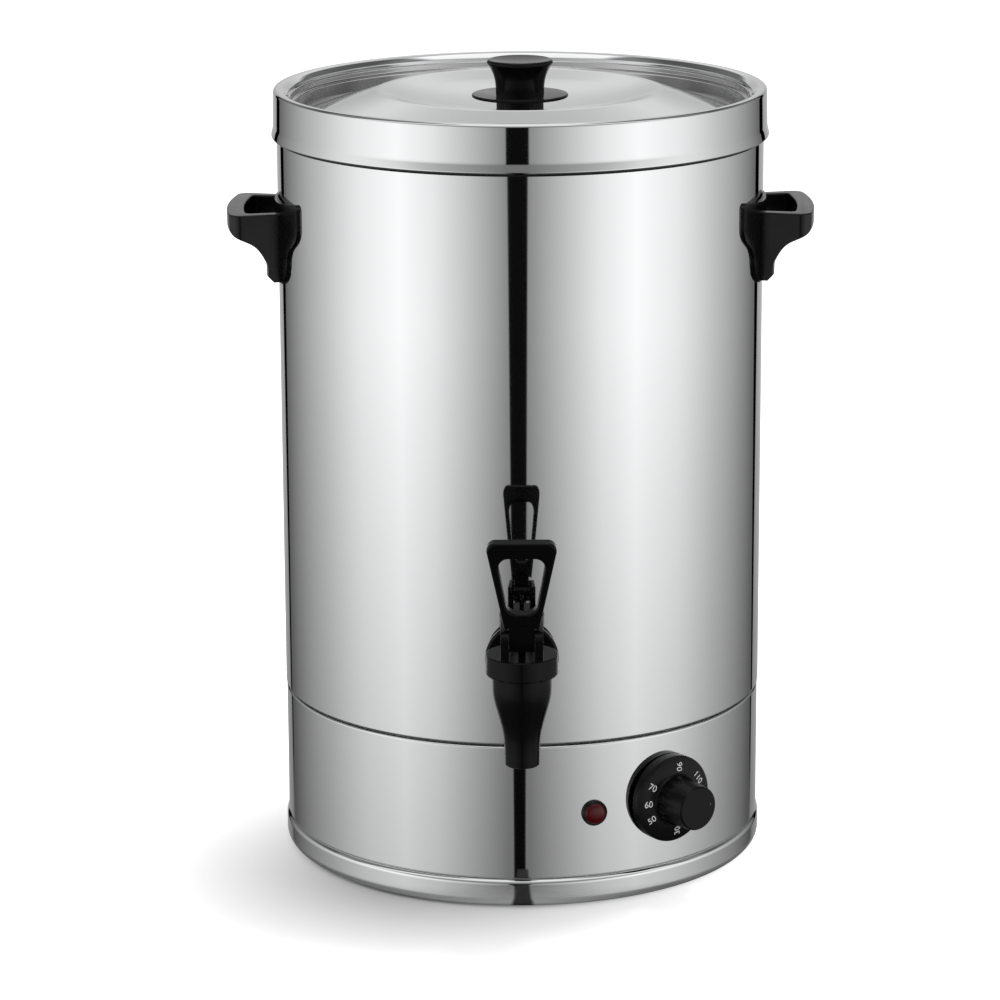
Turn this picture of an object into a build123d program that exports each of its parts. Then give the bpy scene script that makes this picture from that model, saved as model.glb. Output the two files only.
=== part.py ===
from build123d import *
import math
import os

os.makedirs("parts", exist_ok=True)

# A 30 litre hot water urn. Millimetres. Z is up, the floor is Z = 0 and the body's axis is the
# Z axis. The tap is at the front, which faces -Y. Azimuths are measured from the front and grow
# towards +X. "Reach" is a distance from the body's axis.

# ---- Casing -------------------------------------------------------------------------------
body_radius = 170.0  # outside of the jacket
jacket_sheet = 0.8
rim_height = 545.6  # top of the rolled rim
seam_height = 117.8  # middle of the groove between the jacket and the skirt
seam_gap = 1.5  # height of that groove
seam_depth = 3.0  # how far the groove goes in
skirt_inset = 0.5  # the skirt is this much smaller than the jacket
skirt_lap = 14.0  # how far the skirt's neck goes up inside the jacket
plinth_top = 21.6
plinth_stand = 1.0  # the plinth is this much larger than the jacket
plinth_sheet = 1.0
plinth_round = 6.5  # its rounded lower edge
plinth_shoulder = 4.0  # and its rounded upper edge
flange_width = 7.0  # turned-in flanges of the skirt and the plinth
fold_radius = 1.4  # outside radius of an ordinary fold
tight_fold = 1.0

# ---- Rolled rim and collar ----------------------------------------------------------------
collar_depth = 33.4
collar_sheet = 0.9
collar_stand = 2.4  # the collar's face stands this far outside the jacket
bead_flare = 1.6  # the bead along its lower edge
bead_height = 7.0
rim_width = 10.5  # the rounded band along its top
rim_draw = 0.5  # the face leans in by this much at the top
rim_fall = 3.6  # how far the band falls towards the inside
rim_curl = 5.8  # from the band's top down to the tank's flange

# ---- Tank ---------------------------------------------------------------------------------
tank_sheet = 0.8
tank_air_gap = 18.2  # between the jacket and the tank
tank_floor_rise = 12.0  # the tank's floor is this far above the seam
tank_corner = 14.0
neck_inset = 1.8  # the tank's neck inside the rim's curl
neck_step = 2.6  # width of the step below the rim
neck_step_drop = 4.4
lid_seat_drop = 11.0  # from the step down to the ledge that the lid sits on

# ---- Lid ----------------------------------------------------------------------------------
lid_sheet = 0.9
lid_play = 1.4  # radial play of the lid in the neck
lid_rim = 2.4  # flat rim that rests on the ledge
lid_shoulder_radius = 98.0
lid_shoulder_rise = 18.6  # from the rim to the crest of the shoulder
lid_shoulder_round = 9.0
lid_dish_depth = 12.9
knob_land_radius = 20.0  # flat at the lid's centre

# ---- Lid knob -----------------------------------------------------------------------------
knob_foot_radius = 16.5
knob_foot_height = 6.8
knob_guard_radius = 33.7
knob_guard_thickness = 2.2
knob_neck_radius = 16.9
knob_top_radius = 23.0
knob_height = 24.0
knob_waist_height = 10.0  # the neck starts to flare here
knob_waist_flare = 0.8
knob_lip_height = 5.2
knob_lip_round = 2.2
knob_dish_depth = 1.8
knob_screw_radius = 2.5
knob_screw_length = 24.0
knob_screw_relief = 0.5  # the knob's blind hole is this much deeper than the screw
screw_head_radius = 4.4
screw_head_height = 2.6
screw_head_round = 1.0
washer_radius = 7.0
washer_thickness = 1.0

# ---- Side handles -------------------------------------------------------------------------
handle_drop = 83.0  # from the rim down to the grip's top
handle_stand = 35.6  # the grip's outer face in front of the jacket
grip_thickness = 12.0
grip_height = 9.6  # straight part of the grip's outer face
loop_half_angle = 13.6  # the loop's sides are radial, this far each side of its middle
web_angle = 2.6  # thickness of the loop's two webs
loop_round = 8.0  # corners of the grip
opening_round = 3.5  # corners of the finger opening
leg_stand = 9.9  # the legs' outer face in front of the jacket
leg_toe = 3.6  # the legs lean in by this much at the very foot
handle_height = 48.0  # from the grip's top down to the foot
plate_thickness = 1.9
plate_half_width = 79.0
plate_rise = 13.2  # the plate's top edge above the grip
plate_corner = 5.0
plate_side_drop = 3.8  # its straight ends stop this far below the grip's top
plate_waist_half_width = 60.0
plate_waist_height = 17.5  # above the foot
plate_foot_half_width = 46.0
handle_round = 1.2
handle_screw_radius = 1.9
handle_screw_depth = 8.0
handle_screw_drop = 14.0  # below the grip's top
seat_clearance = 0.1  # between a moulding and the curved casing that it sits on

# ---- Tap ----------------------------------------------------------------------------------
tap_rise = 64.0  # shank axis above the seam
tap_shank_radius = 10.5
tap_bore_radius = 6.0
tap_flange_radius = 25.0
tap_flange_thickness = 4.6
tap_flange_chamfer = 1.5
tap_gasket_radius = 22.0
tap_gasket_thickness = 3.0  # at the axis, over the crown of the jacket
tap_neck_radius = 12.0
spout_reach = 50.0  # spout axis in front of the jacket
spout_top_radius = 20.0
spout_belly_radius = 19.4
spout_waist_radius = 12.8
spout_outlet_radius = 11.7
spout_outlet_bore = 8.0
spout_drop = 60.5  # from the shank axis down to the outlet
spout_waist_rise = 22.0  # waist of the spout above the outlet
spout_belly_rise = 48.0
spout_lip_chamfer = 0.8
valve_seat_drop = 15.0
valve_seat_bore = 5.0
valve_seat_height = 7.0
valve_chamber_radius = 14.0
valve_port_drop = 5.0  # the port into the chamber is this far below the shank's axis
valve_port_radius = 4.6
valve_port_wall = 3.0  # the shank's wide bore ends this far short of the bonnet
bonnet_radius = 24.3
bonnet_height = 14.6
bonnet_rise = 17.0  # top of the bonnet's ring above the shank axis
bonnet_top = 4.0
bonnet_chamfer = 1.4
bonnet_seat_drop = 1.6  # the spout's shoulder is this far below the bonnet's lower edge
thread_radius = 20.5
thread_clearance = 0.1
pivot_ahead = 9.5  # the lever's pin is this far in front of the spout axis
pivot_rise = 11.6  # and this far above the bonnet's top
pin_radius = 2.0
pin_clearance = 0.05
pin_press = 0.01  # the pin's hole in the cheeks
cheek_half_width = 14.2
cheek_thickness = 5.6
cheek_play = 0.2  # beside the lever's hub
cheek_round = 8.0
cheek_back = 8.0  # the cheeks end this far behind the spout axis
lever_lean = 12.0
lever_length = 73.6
lever_thickness = 8.0
lever_edge_round = 1.6
lever_top_half_width = 24.4
lever_foot_half_width = 11.5
lever_foot_rise = 9.6
lever_chevron = 3.0
lever_corner = 6.0
lever_window_top = 11.6  # material above the window
lever_window_height = 41.0
lever_window_top_half = 16.4
lever_window_foot_half = 9.4
lever_window_top_round = 6.4
lever_window_foot_round = 8.6
lever_tongue_drop = 6.5  # the tongue between the cheeks ends this far below the pin
lever_hub_radius = 4.2
lever_slot_back = 5.1  # where the fork's slot starts, behind the pin
stem_radius = 2.5
stem_head_radius = 4.6
stem_head_height = 2.0
stem_head_drop = 0.5  # underside of the stem's head below the pin
stem_slot = 0.3  # play beside the stem in the lever's fork
stem_lift_gap = 0.3  # play under the stem's head
fork_thickness = 3.0
fork_reach = -0.3  # where the fork's rounded nose starts, past the stem's axis
stem_collar_radius = 8.5
stem_collar_height = 2.0
seat_cup_radius = 8.0
seat_cup_height = 8.7
seat_cup_bulge = 4.5  # height of the cup's rounded foot
seat_cup_gap = 0.3
spring_radius = 7.0
spring_wire_radius = 0.7
spring_turns = 4
tap_nut_flats = 32.0
tap_nut_thickness = 9.0
tap_nut_chamfer = 1.0
tap_seal_thickness = 3.0
tap_sleeve_wall = 4.0
tap_shank_end = 6.0  # thread past the nut

# ---- Controls -----------------------------------------------------------------------------
dial_azimuth = 36.2
dial_height = 70.7
dial_radius = 30.6
dial_gap = 3.3  # between the skirt's crown and the disc
dial_rim_thickness = 5.3
dial_cone_rise = 1.6
dial_chamfer = 1.4
grip_foot_radius = 17.6
grip_foot_round = 1.0
grip_face_radius = 15.5
grip_length = 24.8
grip_flutes = 14
flute_radius = 4.0
flute_depth = 1.1
shaft_radius = 3.0
shaft_flat = 1.0
shaft_clearance = 0.05
shaft_depth = 17.0  # into the dial
stat_plate_half_width = 17.0
stat_plate_height = 30.0
stat_plate_thickness = 1.2
stat_plate_corner = 3.0
stat_body_radius = 20.0
stat_body_depth = 22.0
stat_bush_radius = 5.0
stat_bush_proud = 0.8  # past the skirt's outer face
stat_blade_pitch_x = 14.0
stat_blade_pitch_y = 12.0
stat_screw_pitch = 28.0
stat_screw_radius = 2.0
stat_screw_head_radius = 3.5
stat_screw_head_height = 1.8
stat_screw_end = 4.0  # past the thermostat's plate
stat_screw_relief = 2.0
lamp_azimuth = 16.9
lamp_height = 67.2
lamp_bezel_radius = 9.0
lamp_bezel_proud = 2.6
lamp_bezel_chamfer = 1.2
lamp_lens_radius = 7.2
lamp_lens_seat = 0.6
lamp_dome = 2.0
lamp_barrel_radius = 6.0
lamp_barrel_length = 26.0
lamp_blade_length = 7.0
lamp_blade_pitch = 6.0
lamp_blade_width = 4.8
lamp_nut_radius = 8.4
lamp_nut_thickness = 3.0
hole_clearance = 0.2
press_fit = 0.02  # radial play of a part that is pressed or cast into its hole
blade_thickness = 0.8
curve_gap = 0.05  # between a flat piece and the edge where it meets the casing's curve

# ---- Heating --------------------------------------------------------------------------------
element_radius = 4.0
element_rise = 20.0  # heating loop above the tank's floor
element_leg_pitch = 40.0
element_leg_y = 95.0
element_bend = 14.0
element_half_length = 88.0
element_half_width = 60.0
element_corner = 42.0
element_tail = 22.0  # below the tank's floor
bush_radius = 7.0
bush_head_radius = 11.0
bush_head_height = 3.0
bush_length = 16.0
bush_seal_thickness = 2.0
bush_seal_clearance = 0.05
bush_nut_flats = 19.0
bush_nut_thickness = 5.0
cutout_x = 52.0
cutout_y = 20.0
cutout_radius = 8.0
cutout_cap_height = 3.0
cutout_body_height = 9.0
cutout_ear_length = 15.0
cutout_ear_width = 7.0
cutout_body_lip = 1.2
cutout_blade_pitch = 9.0
blade_width = 6.3
blade_height = 8.0
bulb_radius = 3.0
bulb_length = 84.0
bulb_x = -40.0
bulb_pocket_wall = 1.0
bulb_clip_half_width = 9.0
bulb_clip_length = 42.0

# ---- Base -----------------------------------------------------------------------------------
foot_proud = 1.0  # the feet stand this far below the plinth
foot_radius = 14.0
foot_inset = 23.5  # from the base plate's edge to the feet's centres
foot_count = 4
foot_plug_radius = 4.0
foot_barb_radius = 5.6
foot_barb_height = 4.5
foot_barb_taper = 18.0
base_plate_sheet = 1.0
base_plate_play = 1.0  # between the base plate and the plinth's curve
tab_count = 4
tab_width = 16.0
tab_length = 28.0
tab_sheet = 1.5
tab_upright = 14.0
tab_screw_radius = 2.0
tab_screw_length = 8.0
tab_screw_head_radius = 3.8
tab_screw_head_height = 1.3
tab_screw_inset = 6.0  # from the plinth's flange to the screws
vent_count = 8
vent_length = 26.0
vent_width = 4.0
vent_inset = 50.0  # from the feet's ring to the middle of the slots
gland_azimuth = 180.0
gland_height = 55.0
gland_bore = 4.5
gland_thread_radius = 8.0
gland_hex_flats = 20.0
gland_hex_thickness = 5.0
gland_dome_radius = 9.0
gland_dome_length = 13.0
gland_length_inside = 12.0
gland_nut_flats = 22.0
gland_nut_thickness = 4.5
gland_dome_nose = 5.0  # rounded end of the dome
gland_mouth_wall = 1.2
block_length = 46.0
block_width = 22.0
block_height = 20.0
block_y = 70.0
block_poles = 4
block_step = 0.62  # share of its width above half its height
block_pole_share = 0.28


# ---- Places worked out from the sizes above ---------------------------------------------------
def outward(azimuth):
    """Unit vector that points straight out of the casing."""
    turn = math.radians(azimuth)
    return Vector(math.sin(turn), -math.cos(turn), 0)


def face_plane(azimuth, height, reach):
    """Plane square to the casing's radius: its x is level, its y is up and its z is outward."""
    turn = math.radians(azimuth)
    origin = outward(azimuth) * reach + Vector(0, 0, height)
    return Plane(origin=origin, x_dir=(math.cos(turn), math.sin(turn), 0), z_dir=outward(azimuth))


def spin_plane(azimuth, height):
    """Plane that holds a radius of the casing: its x is the reach and its y is up."""
    turn = math.radians(azimuth)
    normal = (-math.cos(turn), -math.sin(turn), 0)
    return Plane(origin=(0, 0, height), x_dir=outward(azimuth), z_dir=normal)


def radius_axis(azimuth, height):
    """Axis of whatever is spun about a radius of the casing."""
    return Axis((0, 0, height), tuple(outward(azimuth)))


def pressed_ring(path_points, folds, thickness):
    """Sheet spun about Z: its section follows a folded path and lies on the path's left."""
    with BuildPart() as ring:
        with BuildSketch(Plane.XZ):
            with BuildLine():
                FilletPolyline(*path_points, radius=folds)
                offset(amount=thickness, side=Side.LEFT)
            make_face()
        revolve(axis=Axis.Z)
    return ring.part


def write(part, name):
    """Label a finished piece and write it as one STEP file."""
    part.label = name
    export_step(part, f"parts/{name}.step")


shell_foot = seam_height + seam_gap / 2
skirt_top = seam_height - seam_gap / 2
skirt_radius = body_radius - skirt_inset
groove_radius = body_radius - seam_depth
plinth_radius = body_radius + plinth_stand
collar_foot = rim_height - collar_depth
collar_radius = body_radius + collar_stand
rim_outer = collar_radius - rim_draw
rim_inner = rim_outer - rim_width
flange_height = rim_height - rim_curl  # top face of the tank's flange
neck_radius = rim_inner - neck_inset
step_height = flange_height - neck_step_drop
lower_neck_radius = neck_radius - neck_step
seat_height = step_height - lid_seat_drop
tank_floor = seam_height + tank_floor_rise
tank_outside = body_radius - jacket_sheet - tank_air_gap
tank_radius = tank_outside - tank_sheet
tank_underside = tank_floor - tank_sheet
shell_inside = body_radius - jacket_sheet

tap_height = seam_height + tap_rise
gasket_face = body_radius + tap_gasket_thickness
spout_axis_y = -(body_radius + spout_reach)
bonnet_top_height = tap_height + bonnet_rise
bonnet_foot = bonnet_top_height - bonnet_height
bonnet_ceiling = bonnet_top_height - bonnet_top
spout_shoulder = bonnet_foot - bonnet_seat_drop
valve_seat = tap_height - valve_seat_drop
spout_mouth = tap_height - spout_drop
pivot_y = spout_axis_y - pivot_ahead
pivot_height = bonnet_top_height + pivot_rise
slot_half_width = cheek_half_width - cheek_thickness
lever_half_width = slot_half_width - cheek_play
stem_head_foot = pivot_height - stem_head_drop
cup_foot = valve_seat + seat_cup_gap
collar_seat = cup_foot + seat_cup_height
seal_inside = tank_radius - tap_seal_thickness
nut_inside = seal_inside - tap_nut_thickness
shank_end = nut_inside - tap_shank_end

# ---- Casing pieces ----------------------------------------------------------------------------
with BuildPart() as outer_shell:
    add(
        pressed_ring(
            [
                (groove_radius + seat_clearance, shell_foot),
                (body_radius, shell_foot),
                (body_radius, flange_height - tank_sheet),
                (body_radius - flange_width, flange_height - tank_sheet),
            ],
            [tight_fold, fold_radius],
            jacket_sheet,
        )
    )
    with BuildSketch(Plane.XZ.offset(shell_inside / 2)):
        with Locations((0, tap_height)):
            Circle(tap_shank_radius + hole_clearance)
    extrude(amount=shell_inside, mode=Mode.SUBTRACT)
    for side in (1, -1):
        for end in (1, -1):
            screw_azimuth = 90 * side + end * (loop_half_angle - web_angle / 2)
            screw_z = rim_height - handle_drop - handle_screw_drop
            with BuildSketch(face_plane(screw_azimuth, screw_z, shell_inside / 2)):
                Circle(handle_screw_radius + hole_clearance)
            extrude(amount=shell_inside, mode=Mode.SUBTRACT)

with BuildPart() as base_skirt:
    add(
        pressed_ring(
            [
                (skirt_radius - flange_width, plinth_top),
                (skirt_radius, plinth_top),
                (skirt_radius, skirt_top),
                (groove_radius, skirt_top),
                (groove_radius, skirt_top + skirt_lap),
            ],
            [tight_fold, fold_radius, tight_fold / 2],
            jacket_sheet,
        )
    )
    for hole_azimuth, hole_height, hole_radius in (
        (dial_azimuth, dial_height, stat_bush_radius + hole_clearance),
        (lamp_azimuth, lamp_height, lamp_barrel_radius + hole_clearance),
        (gland_azimuth, gland_height, gland_thread_radius + hole_clearance),
    ):
        with BuildSketch(face_plane(hole_azimuth, hole_height, skirt_radius / 2)):
            Circle(hole_radius)
        extrude(amount=skirt_radius, mode=Mode.SUBTRACT)
    with BuildSketch(face_plane(dial_azimuth, dial_height, skirt_radius / 2)):
        with GridLocations(stat_screw_pitch, 0, 2, 1):
            Circle(stat_screw_radius + hole_clearance)
    extrude(amount=skirt_radius, mode=Mode.SUBTRACT)

with BuildPart() as plinth_ring:
    add(
        pressed_ring(
            [
                (plinth_radius - plinth_sheet - flange_width - plinth_round, foot_proud),
                (plinth_radius, foot_proud),
                (plinth_radius, plinth_top),
                (plinth_radius - plinth_stand - flange_width, plinth_top),
            ],
            [plinth_round, plinth_shoulder],
            plinth_sheet,
        )
    )

with BuildPart() as rim_collar:
    add(
        pressed_ring(
            [
                (body_radius + seat_clearance, collar_foot),
                (collar_radius + bead_flare, collar_foot),
                (collar_radius, collar_foot + bead_height),
                (rim_outer, rim_height),
                (rim_outer - rim_width / 2, rim_height),
                (rim_inner, rim_height - rim_fall),
                (rim_inner, flange_height),
            ],
            [1.4, 9.0, 2.4, 7.0, 1.2],
            collar_sheet,
        )
    )

with BuildPart() as inner_tank:
    add(
        pressed_ring(
            [
                (body_radius - fold_radius, flange_height),
                (neck_radius, flange_height),
                (neck_radius, step_height),
                (lower_neck_radius, step_height),
                (lower_neck_radius, seat_height),
                (tank_radius, seat_height),
                (tank_radius, tank_floor),
                (0, tank_floor),
            ],
            [1.2, 1.0, 1.4, 1.2, 1.6, tank_corner],
            tank_sheet,
        )
    )
    with BuildSketch(Plane.XZ.offset(tank_radius / 2)):
        with Locations((0, tap_height)):
            Circle(tap_shank_radius + hole_clearance)
    extrude(amount=tank_radius, mode=Mode.SUBTRACT)
    with BuildSketch(Plane.XY.offset(tank_underside - tank_sheet)):
        with Locations((0, element_leg_y)):
            with GridLocations(element_leg_pitch, 0, 2, 1):
                Circle(bush_radius + hole_clearance)
    extrude(amount=3 * tank_sheet, mode=Mode.SUBTRACT)

# ---- Lid and its knob -------------------------------------------------------------------------
lid_radius = lower_neck_radius - lid_play
lid_top = seat_height + lid_sheet  # top face of the flat rim
crest_height = lid_top + lid_shoulder_rise
land_height = crest_height - lid_dish_depth
dish_run = lid_shoulder_radius - knob_land_radius
dish_radius = (dish_run**2 + lid_dish_depth**2) / (2 * lid_dish_depth)

with BuildPart() as lid:
    with BuildSketch(Plane.XZ):
        with BuildLine():
            rim_inside = (lid_radius - lid_rim, lid_top)
            Polyline((0, land_height), (knob_land_radius, land_height))
            RadiusArc((knob_land_radius, land_height), (lid_shoulder_radius, crest_height), -dish_radius)
            Polyline(
                (lid_shoulder_radius, crest_height),
                rim_inside,
                (lid_radius, lid_top),
                (lid_radius, lid_top - lid_sheet),
                (rim_inside[0], lid_top - lid_sheet),
                (lid_shoulder_radius, crest_height - lid_sheet),
            )
            RadiusArc(
                (lid_shoulder_radius, crest_height - lid_sheet),
                (knob_land_radius, land_height - lid_sheet),
                dish_radius,
            )
            Polyline(
                (knob_land_radius, land_height - lid_sheet),
                (0, land_height - lid_sheet),
                (0, land_height),
            )
        make_face()
    revolve(axis=Axis.Z)
    with BuildSketch(Plane.XY.offset(land_height - 2 * lid_sheet)):
        Circle(knob_screw_radius + hole_clearance)
    extrude(amount=3 * lid_sheet, mode=Mode.SUBTRACT)
    crest_edges = lid.edges().filter_by(GeomType.CIRCLE).filter_by(
        lambda edge: abs(edge.radius - lid_shoulder_radius) < 0.01
    )
    fillet(crest_edges, radius=lid_shoulder_round)

guard_top = land_height + knob_foot_height + knob_guard_thickness
knob_top = guard_top + knob_height
lip_foot = knob_top - knob_lip_height

with BuildPart() as lid_knob_guard:
    with BuildSketch(Plane.XZ):
        with BuildLine():
            Polyline(
                (knob_screw_radius + hole_clearance, land_height),
                (knob_foot_radius, land_height),
                (knob_foot_radius, guard_top - knob_guard_thickness),
                (knob_guard_radius, guard_top - knob_guard_thickness),
                (knob_guard_radius, guard_top),
                (knob_screw_radius + hole_clearance, guard_top),
                close=True,
            )
        make_face()
    revolve(axis=Axis.Z)
    guard_edges = lid_knob_guard.edges().filter_by(GeomType.CIRCLE).filter_by(
        lambda edge: abs(edge.radius - knob_guard_radius) < 0.01
    )
    fillet(guard_edges, radius=knob_guard_thickness * 0.42)

with BuildPart() as lid_knob:
    with BuildSketch(Plane.XZ):
        with BuildLine():
            lip_corner = (knob_top_radius, lip_foot + knob_lip_height / 2)
            dish_edge = (knob_top_radius - knob_lip_round, knob_top)
            Line((0, guard_top), (knob_neck_radius, guard_top))
            Spline(
                (knob_neck_radius, guard_top),
                (knob_neck_radius + knob_waist_flare, guard_top + knob_waist_height),
                lip_corner,
                tangents=[(0, 1), (0.8, 1)],
            )
            ThreePointArc(
                lip_corner,
                (knob_top_radius - knob_lip_round * 0.1, knob_top - knob_lip_round * 0.4),
                dish_edge,
            )
            Spline(
                dish_edge,
                (0, knob_top - knob_dish_depth),
                tangents=[(-1, -0.2), (-1, 0)],
            )
            Line((0, knob_top - knob_dish_depth), (0, guard_top))
        make_face()
    revolve(axis=Axis.Z)
    screw_reach = knob_screw_length - lid_sheet - knob_foot_height - knob_guard_thickness
    with BuildSketch(Plane.XY.offset(guard_top)):
        Circle(knob_screw_radius)
    extrude(amount=screw_reach - washer_thickness + knob_screw_relief, mode=Mode.SUBTRACT)

lid_underside = land_height - lid_sheet
with BuildPart() as lid_knob_washer:
    with BuildSketch(Plane.XY.offset(lid_underside - washer_thickness)):
        Circle(washer_radius)
        Circle(knob_screw_radius + hole_clearance, mode=Mode.SUBTRACT)
    extrude(amount=washer_thickness)

with BuildPart() as lid_knob_screw:
    with BuildSketch(Plane.XY.offset(lid_underside - washer_thickness - screw_head_height)):
        Circle(screw_head_radius)
    extrude(amount=screw_head_height)
    with BuildSketch(Plane.XY.offset(lid_underside - washer_thickness)):
        Circle(knob_screw_radius)
    extrude(amount=knob_screw_length)
    fillet(lid_knob_screw.edges().group_by(Axis.Z)[0], radius=screw_head_round)

# ---- Side handles -----------------------------------------------------------------------------
grip_top = rim_height - handle_drop
handle_foot = grip_top - handle_height
handle_reach = body_radius + handle_stand
opening_reach = handle_reach - grip_thickness
seat_radius = body_radius + seat_clearance
plate_radius = seat_radius + plate_thickness
loop_root = body_radius - flange_width  # the loop starts here before it is cut to the casing
handle_screw_angle = loop_half_angle - web_angle / 2


def wedge(half_angle, reach):
    """Corners of a wedge about +X that is wider than the given reach."""
    half_width = 2 * reach * math.tan(math.radians(half_angle))
    return [(0, 0), (2 * reach, -half_width), (2 * reach, half_width)]


def underside(share_out, share_down):
    """Point under the grip, as a share of its overhang and of the handle's height."""
    overhang = handle_stand - leg_stand
    reach = body_radius + leg_stand + share_out * overhang
    return (reach, grip_top - share_down * handle_height)


with BuildPart() as handle_loop:
    with BuildSketch(Plane.XY.offset(handle_foot)) as loop_plan:
        Circle(handle_reach)
        Circle(loop_root, mode=Mode.SUBTRACT)
        Polygon(*wedge(loop_half_angle, handle_reach), align=None, mode=Mode.INTERSECT)
        fillet(loop_plan.vertices().group_by(Axis.X)[-1], radius=loop_round)
    extrude(amount=handle_height)
    with BuildSketch(Plane.XY.offset(handle_foot)) as finger_plan:
        Circle(opening_reach)
        Circle(plate_radius - plate_thickness / 2, mode=Mode.SUBTRACT)
        Polygon(*wedge(loop_half_angle - web_angle, handle_reach), align=None, mode=Mode.INTERSECT)
        fillet(finger_plan.vertices().group_by(Axis.X)[-1], radius=opening_round)
    extrude(amount=handle_height, mode=Mode.SUBTRACT)
    with BuildSketch(Plane.XZ):
        with BuildLine():
            grip_corner = (handle_reach, grip_top - grip_height)
            leg_ankle = underside(0, 0.92)
            leg_foot = (body_radius + leg_stand - leg_toe, handle_foot)
            Polyline(leg_foot, (loop_root, handle_foot), (loop_root, grip_top))
            Polyline((loop_root, grip_top), (handle_reach, grip_top), grip_corner)
            Spline(
                grip_corner,
                underside(0.82, 0.34),
                underside(0.34, 0.48),
                underside(0.05, 0.70),
                leg_ankle,
                tangents=[(0, -1), (0, -1)],
            )
            Line(leg_ankle, leg_foot)
        make_face()
    revolve(axis=Axis.Z, mode=Mode.INTERSECT)
    fillet(handle_loop.faces().sort_by(Axis.Z)[-1].edges(), radius=handle_round)
    with BuildSketch(Plane.XY.offset(handle_foot)):
        Circle(seat_radius)
    extrude(amount=handle_height, mode=Mode.SUBTRACT)

with BuildPart() as handle_right:
    with BuildSketch(Plane.YZ.offset(body_radius / 2)) as plate_outline:
        with BuildLine():
            plate_top = grip_top + plate_rise
            side_foot = grip_top - plate_side_drop
            waist_height = handle_foot + plate_waist_height
            Line((-plate_half_width, plate_top), (plate_half_width, plate_top))
            for end in (1, -1):
                Line((end * plate_half_width, plate_top), (end * plate_half_width, side_foot))
                Spline(
                    (end * plate_half_width, side_foot),
                    (end * plate_waist_half_width, waist_height),
                    (end * plate_foot_half_width, handle_foot),
                    tangents=[(0, -1), (-end * 0.12, -1), (-end, -0.5)],
                )
            Line((-plate_foot_half_width, handle_foot), (plate_foot_half_width, handle_foot))
        make_face()
        fillet(plate_outline.vertices().group_by(Axis.Y)[-1], radius=plate_corner)
    extrude(amount=body_radius)
    with BuildSketch(Plane.XY.offset(handle_foot)):
        Circle(plate_radius)
        Circle(seat_radius, mode=Mode.SUBTRACT)
    extrude(amount=handle_height + plate_rise, mode=Mode.INTERSECT)
    add(handle_loop.part)
    for end in (1, -1):
        screw_plane = face_plane(90 + end * handle_screw_angle, grip_top - handle_screw_drop, shell_inside)
        with BuildSketch(screw_plane):
            Circle(handle_screw_radius)
        extrude(amount=jacket_sheet + handle_screw_depth + plate_thickness, mode=Mode.SUBTRACT)

with BuildPart() as handle_left:
    add(mirror(handle_right.part, about=Plane.YZ, mode=Mode.PRIVATE))

with BuildPart() as handle_screws:
    for side in (1, -1):
        for end in (1, -1):
            screw_azimuth = 90 * side + end * handle_screw_angle
            screw_z = grip_top - handle_screw_drop
            head_face = shell_inside - seat_clearance
            with BuildSketch(face_plane(screw_azimuth, screw_z, head_face)):
                Circle(handle_screw_radius - press_fit)
            extrude(amount=handle_screw_depth + jacket_sheet + seat_clearance)
            with BuildSketch(face_plane(screw_azimuth, screw_z, head_face - screw_head_height)):
                Circle(screw_head_radius)
            extrude(amount=screw_head_height)

# ---- Tap --------------------------------------------------------------------------------------
shank_plane = spin_plane(0, tap_height)
shank_axis = radius_axis(0, tap_height)
spout_plane = Plane.XZ.offset(-spout_axis_y)
spout_axis = Axis((0, spout_axis_y, 0), (0, 0, 1))
flange_face = gasket_face + tap_flange_thickness
spout_reach_total = body_radius + spout_reach

bore_end = body_radius + spout_reach - bonnet_radius - valve_port_wall

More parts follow.
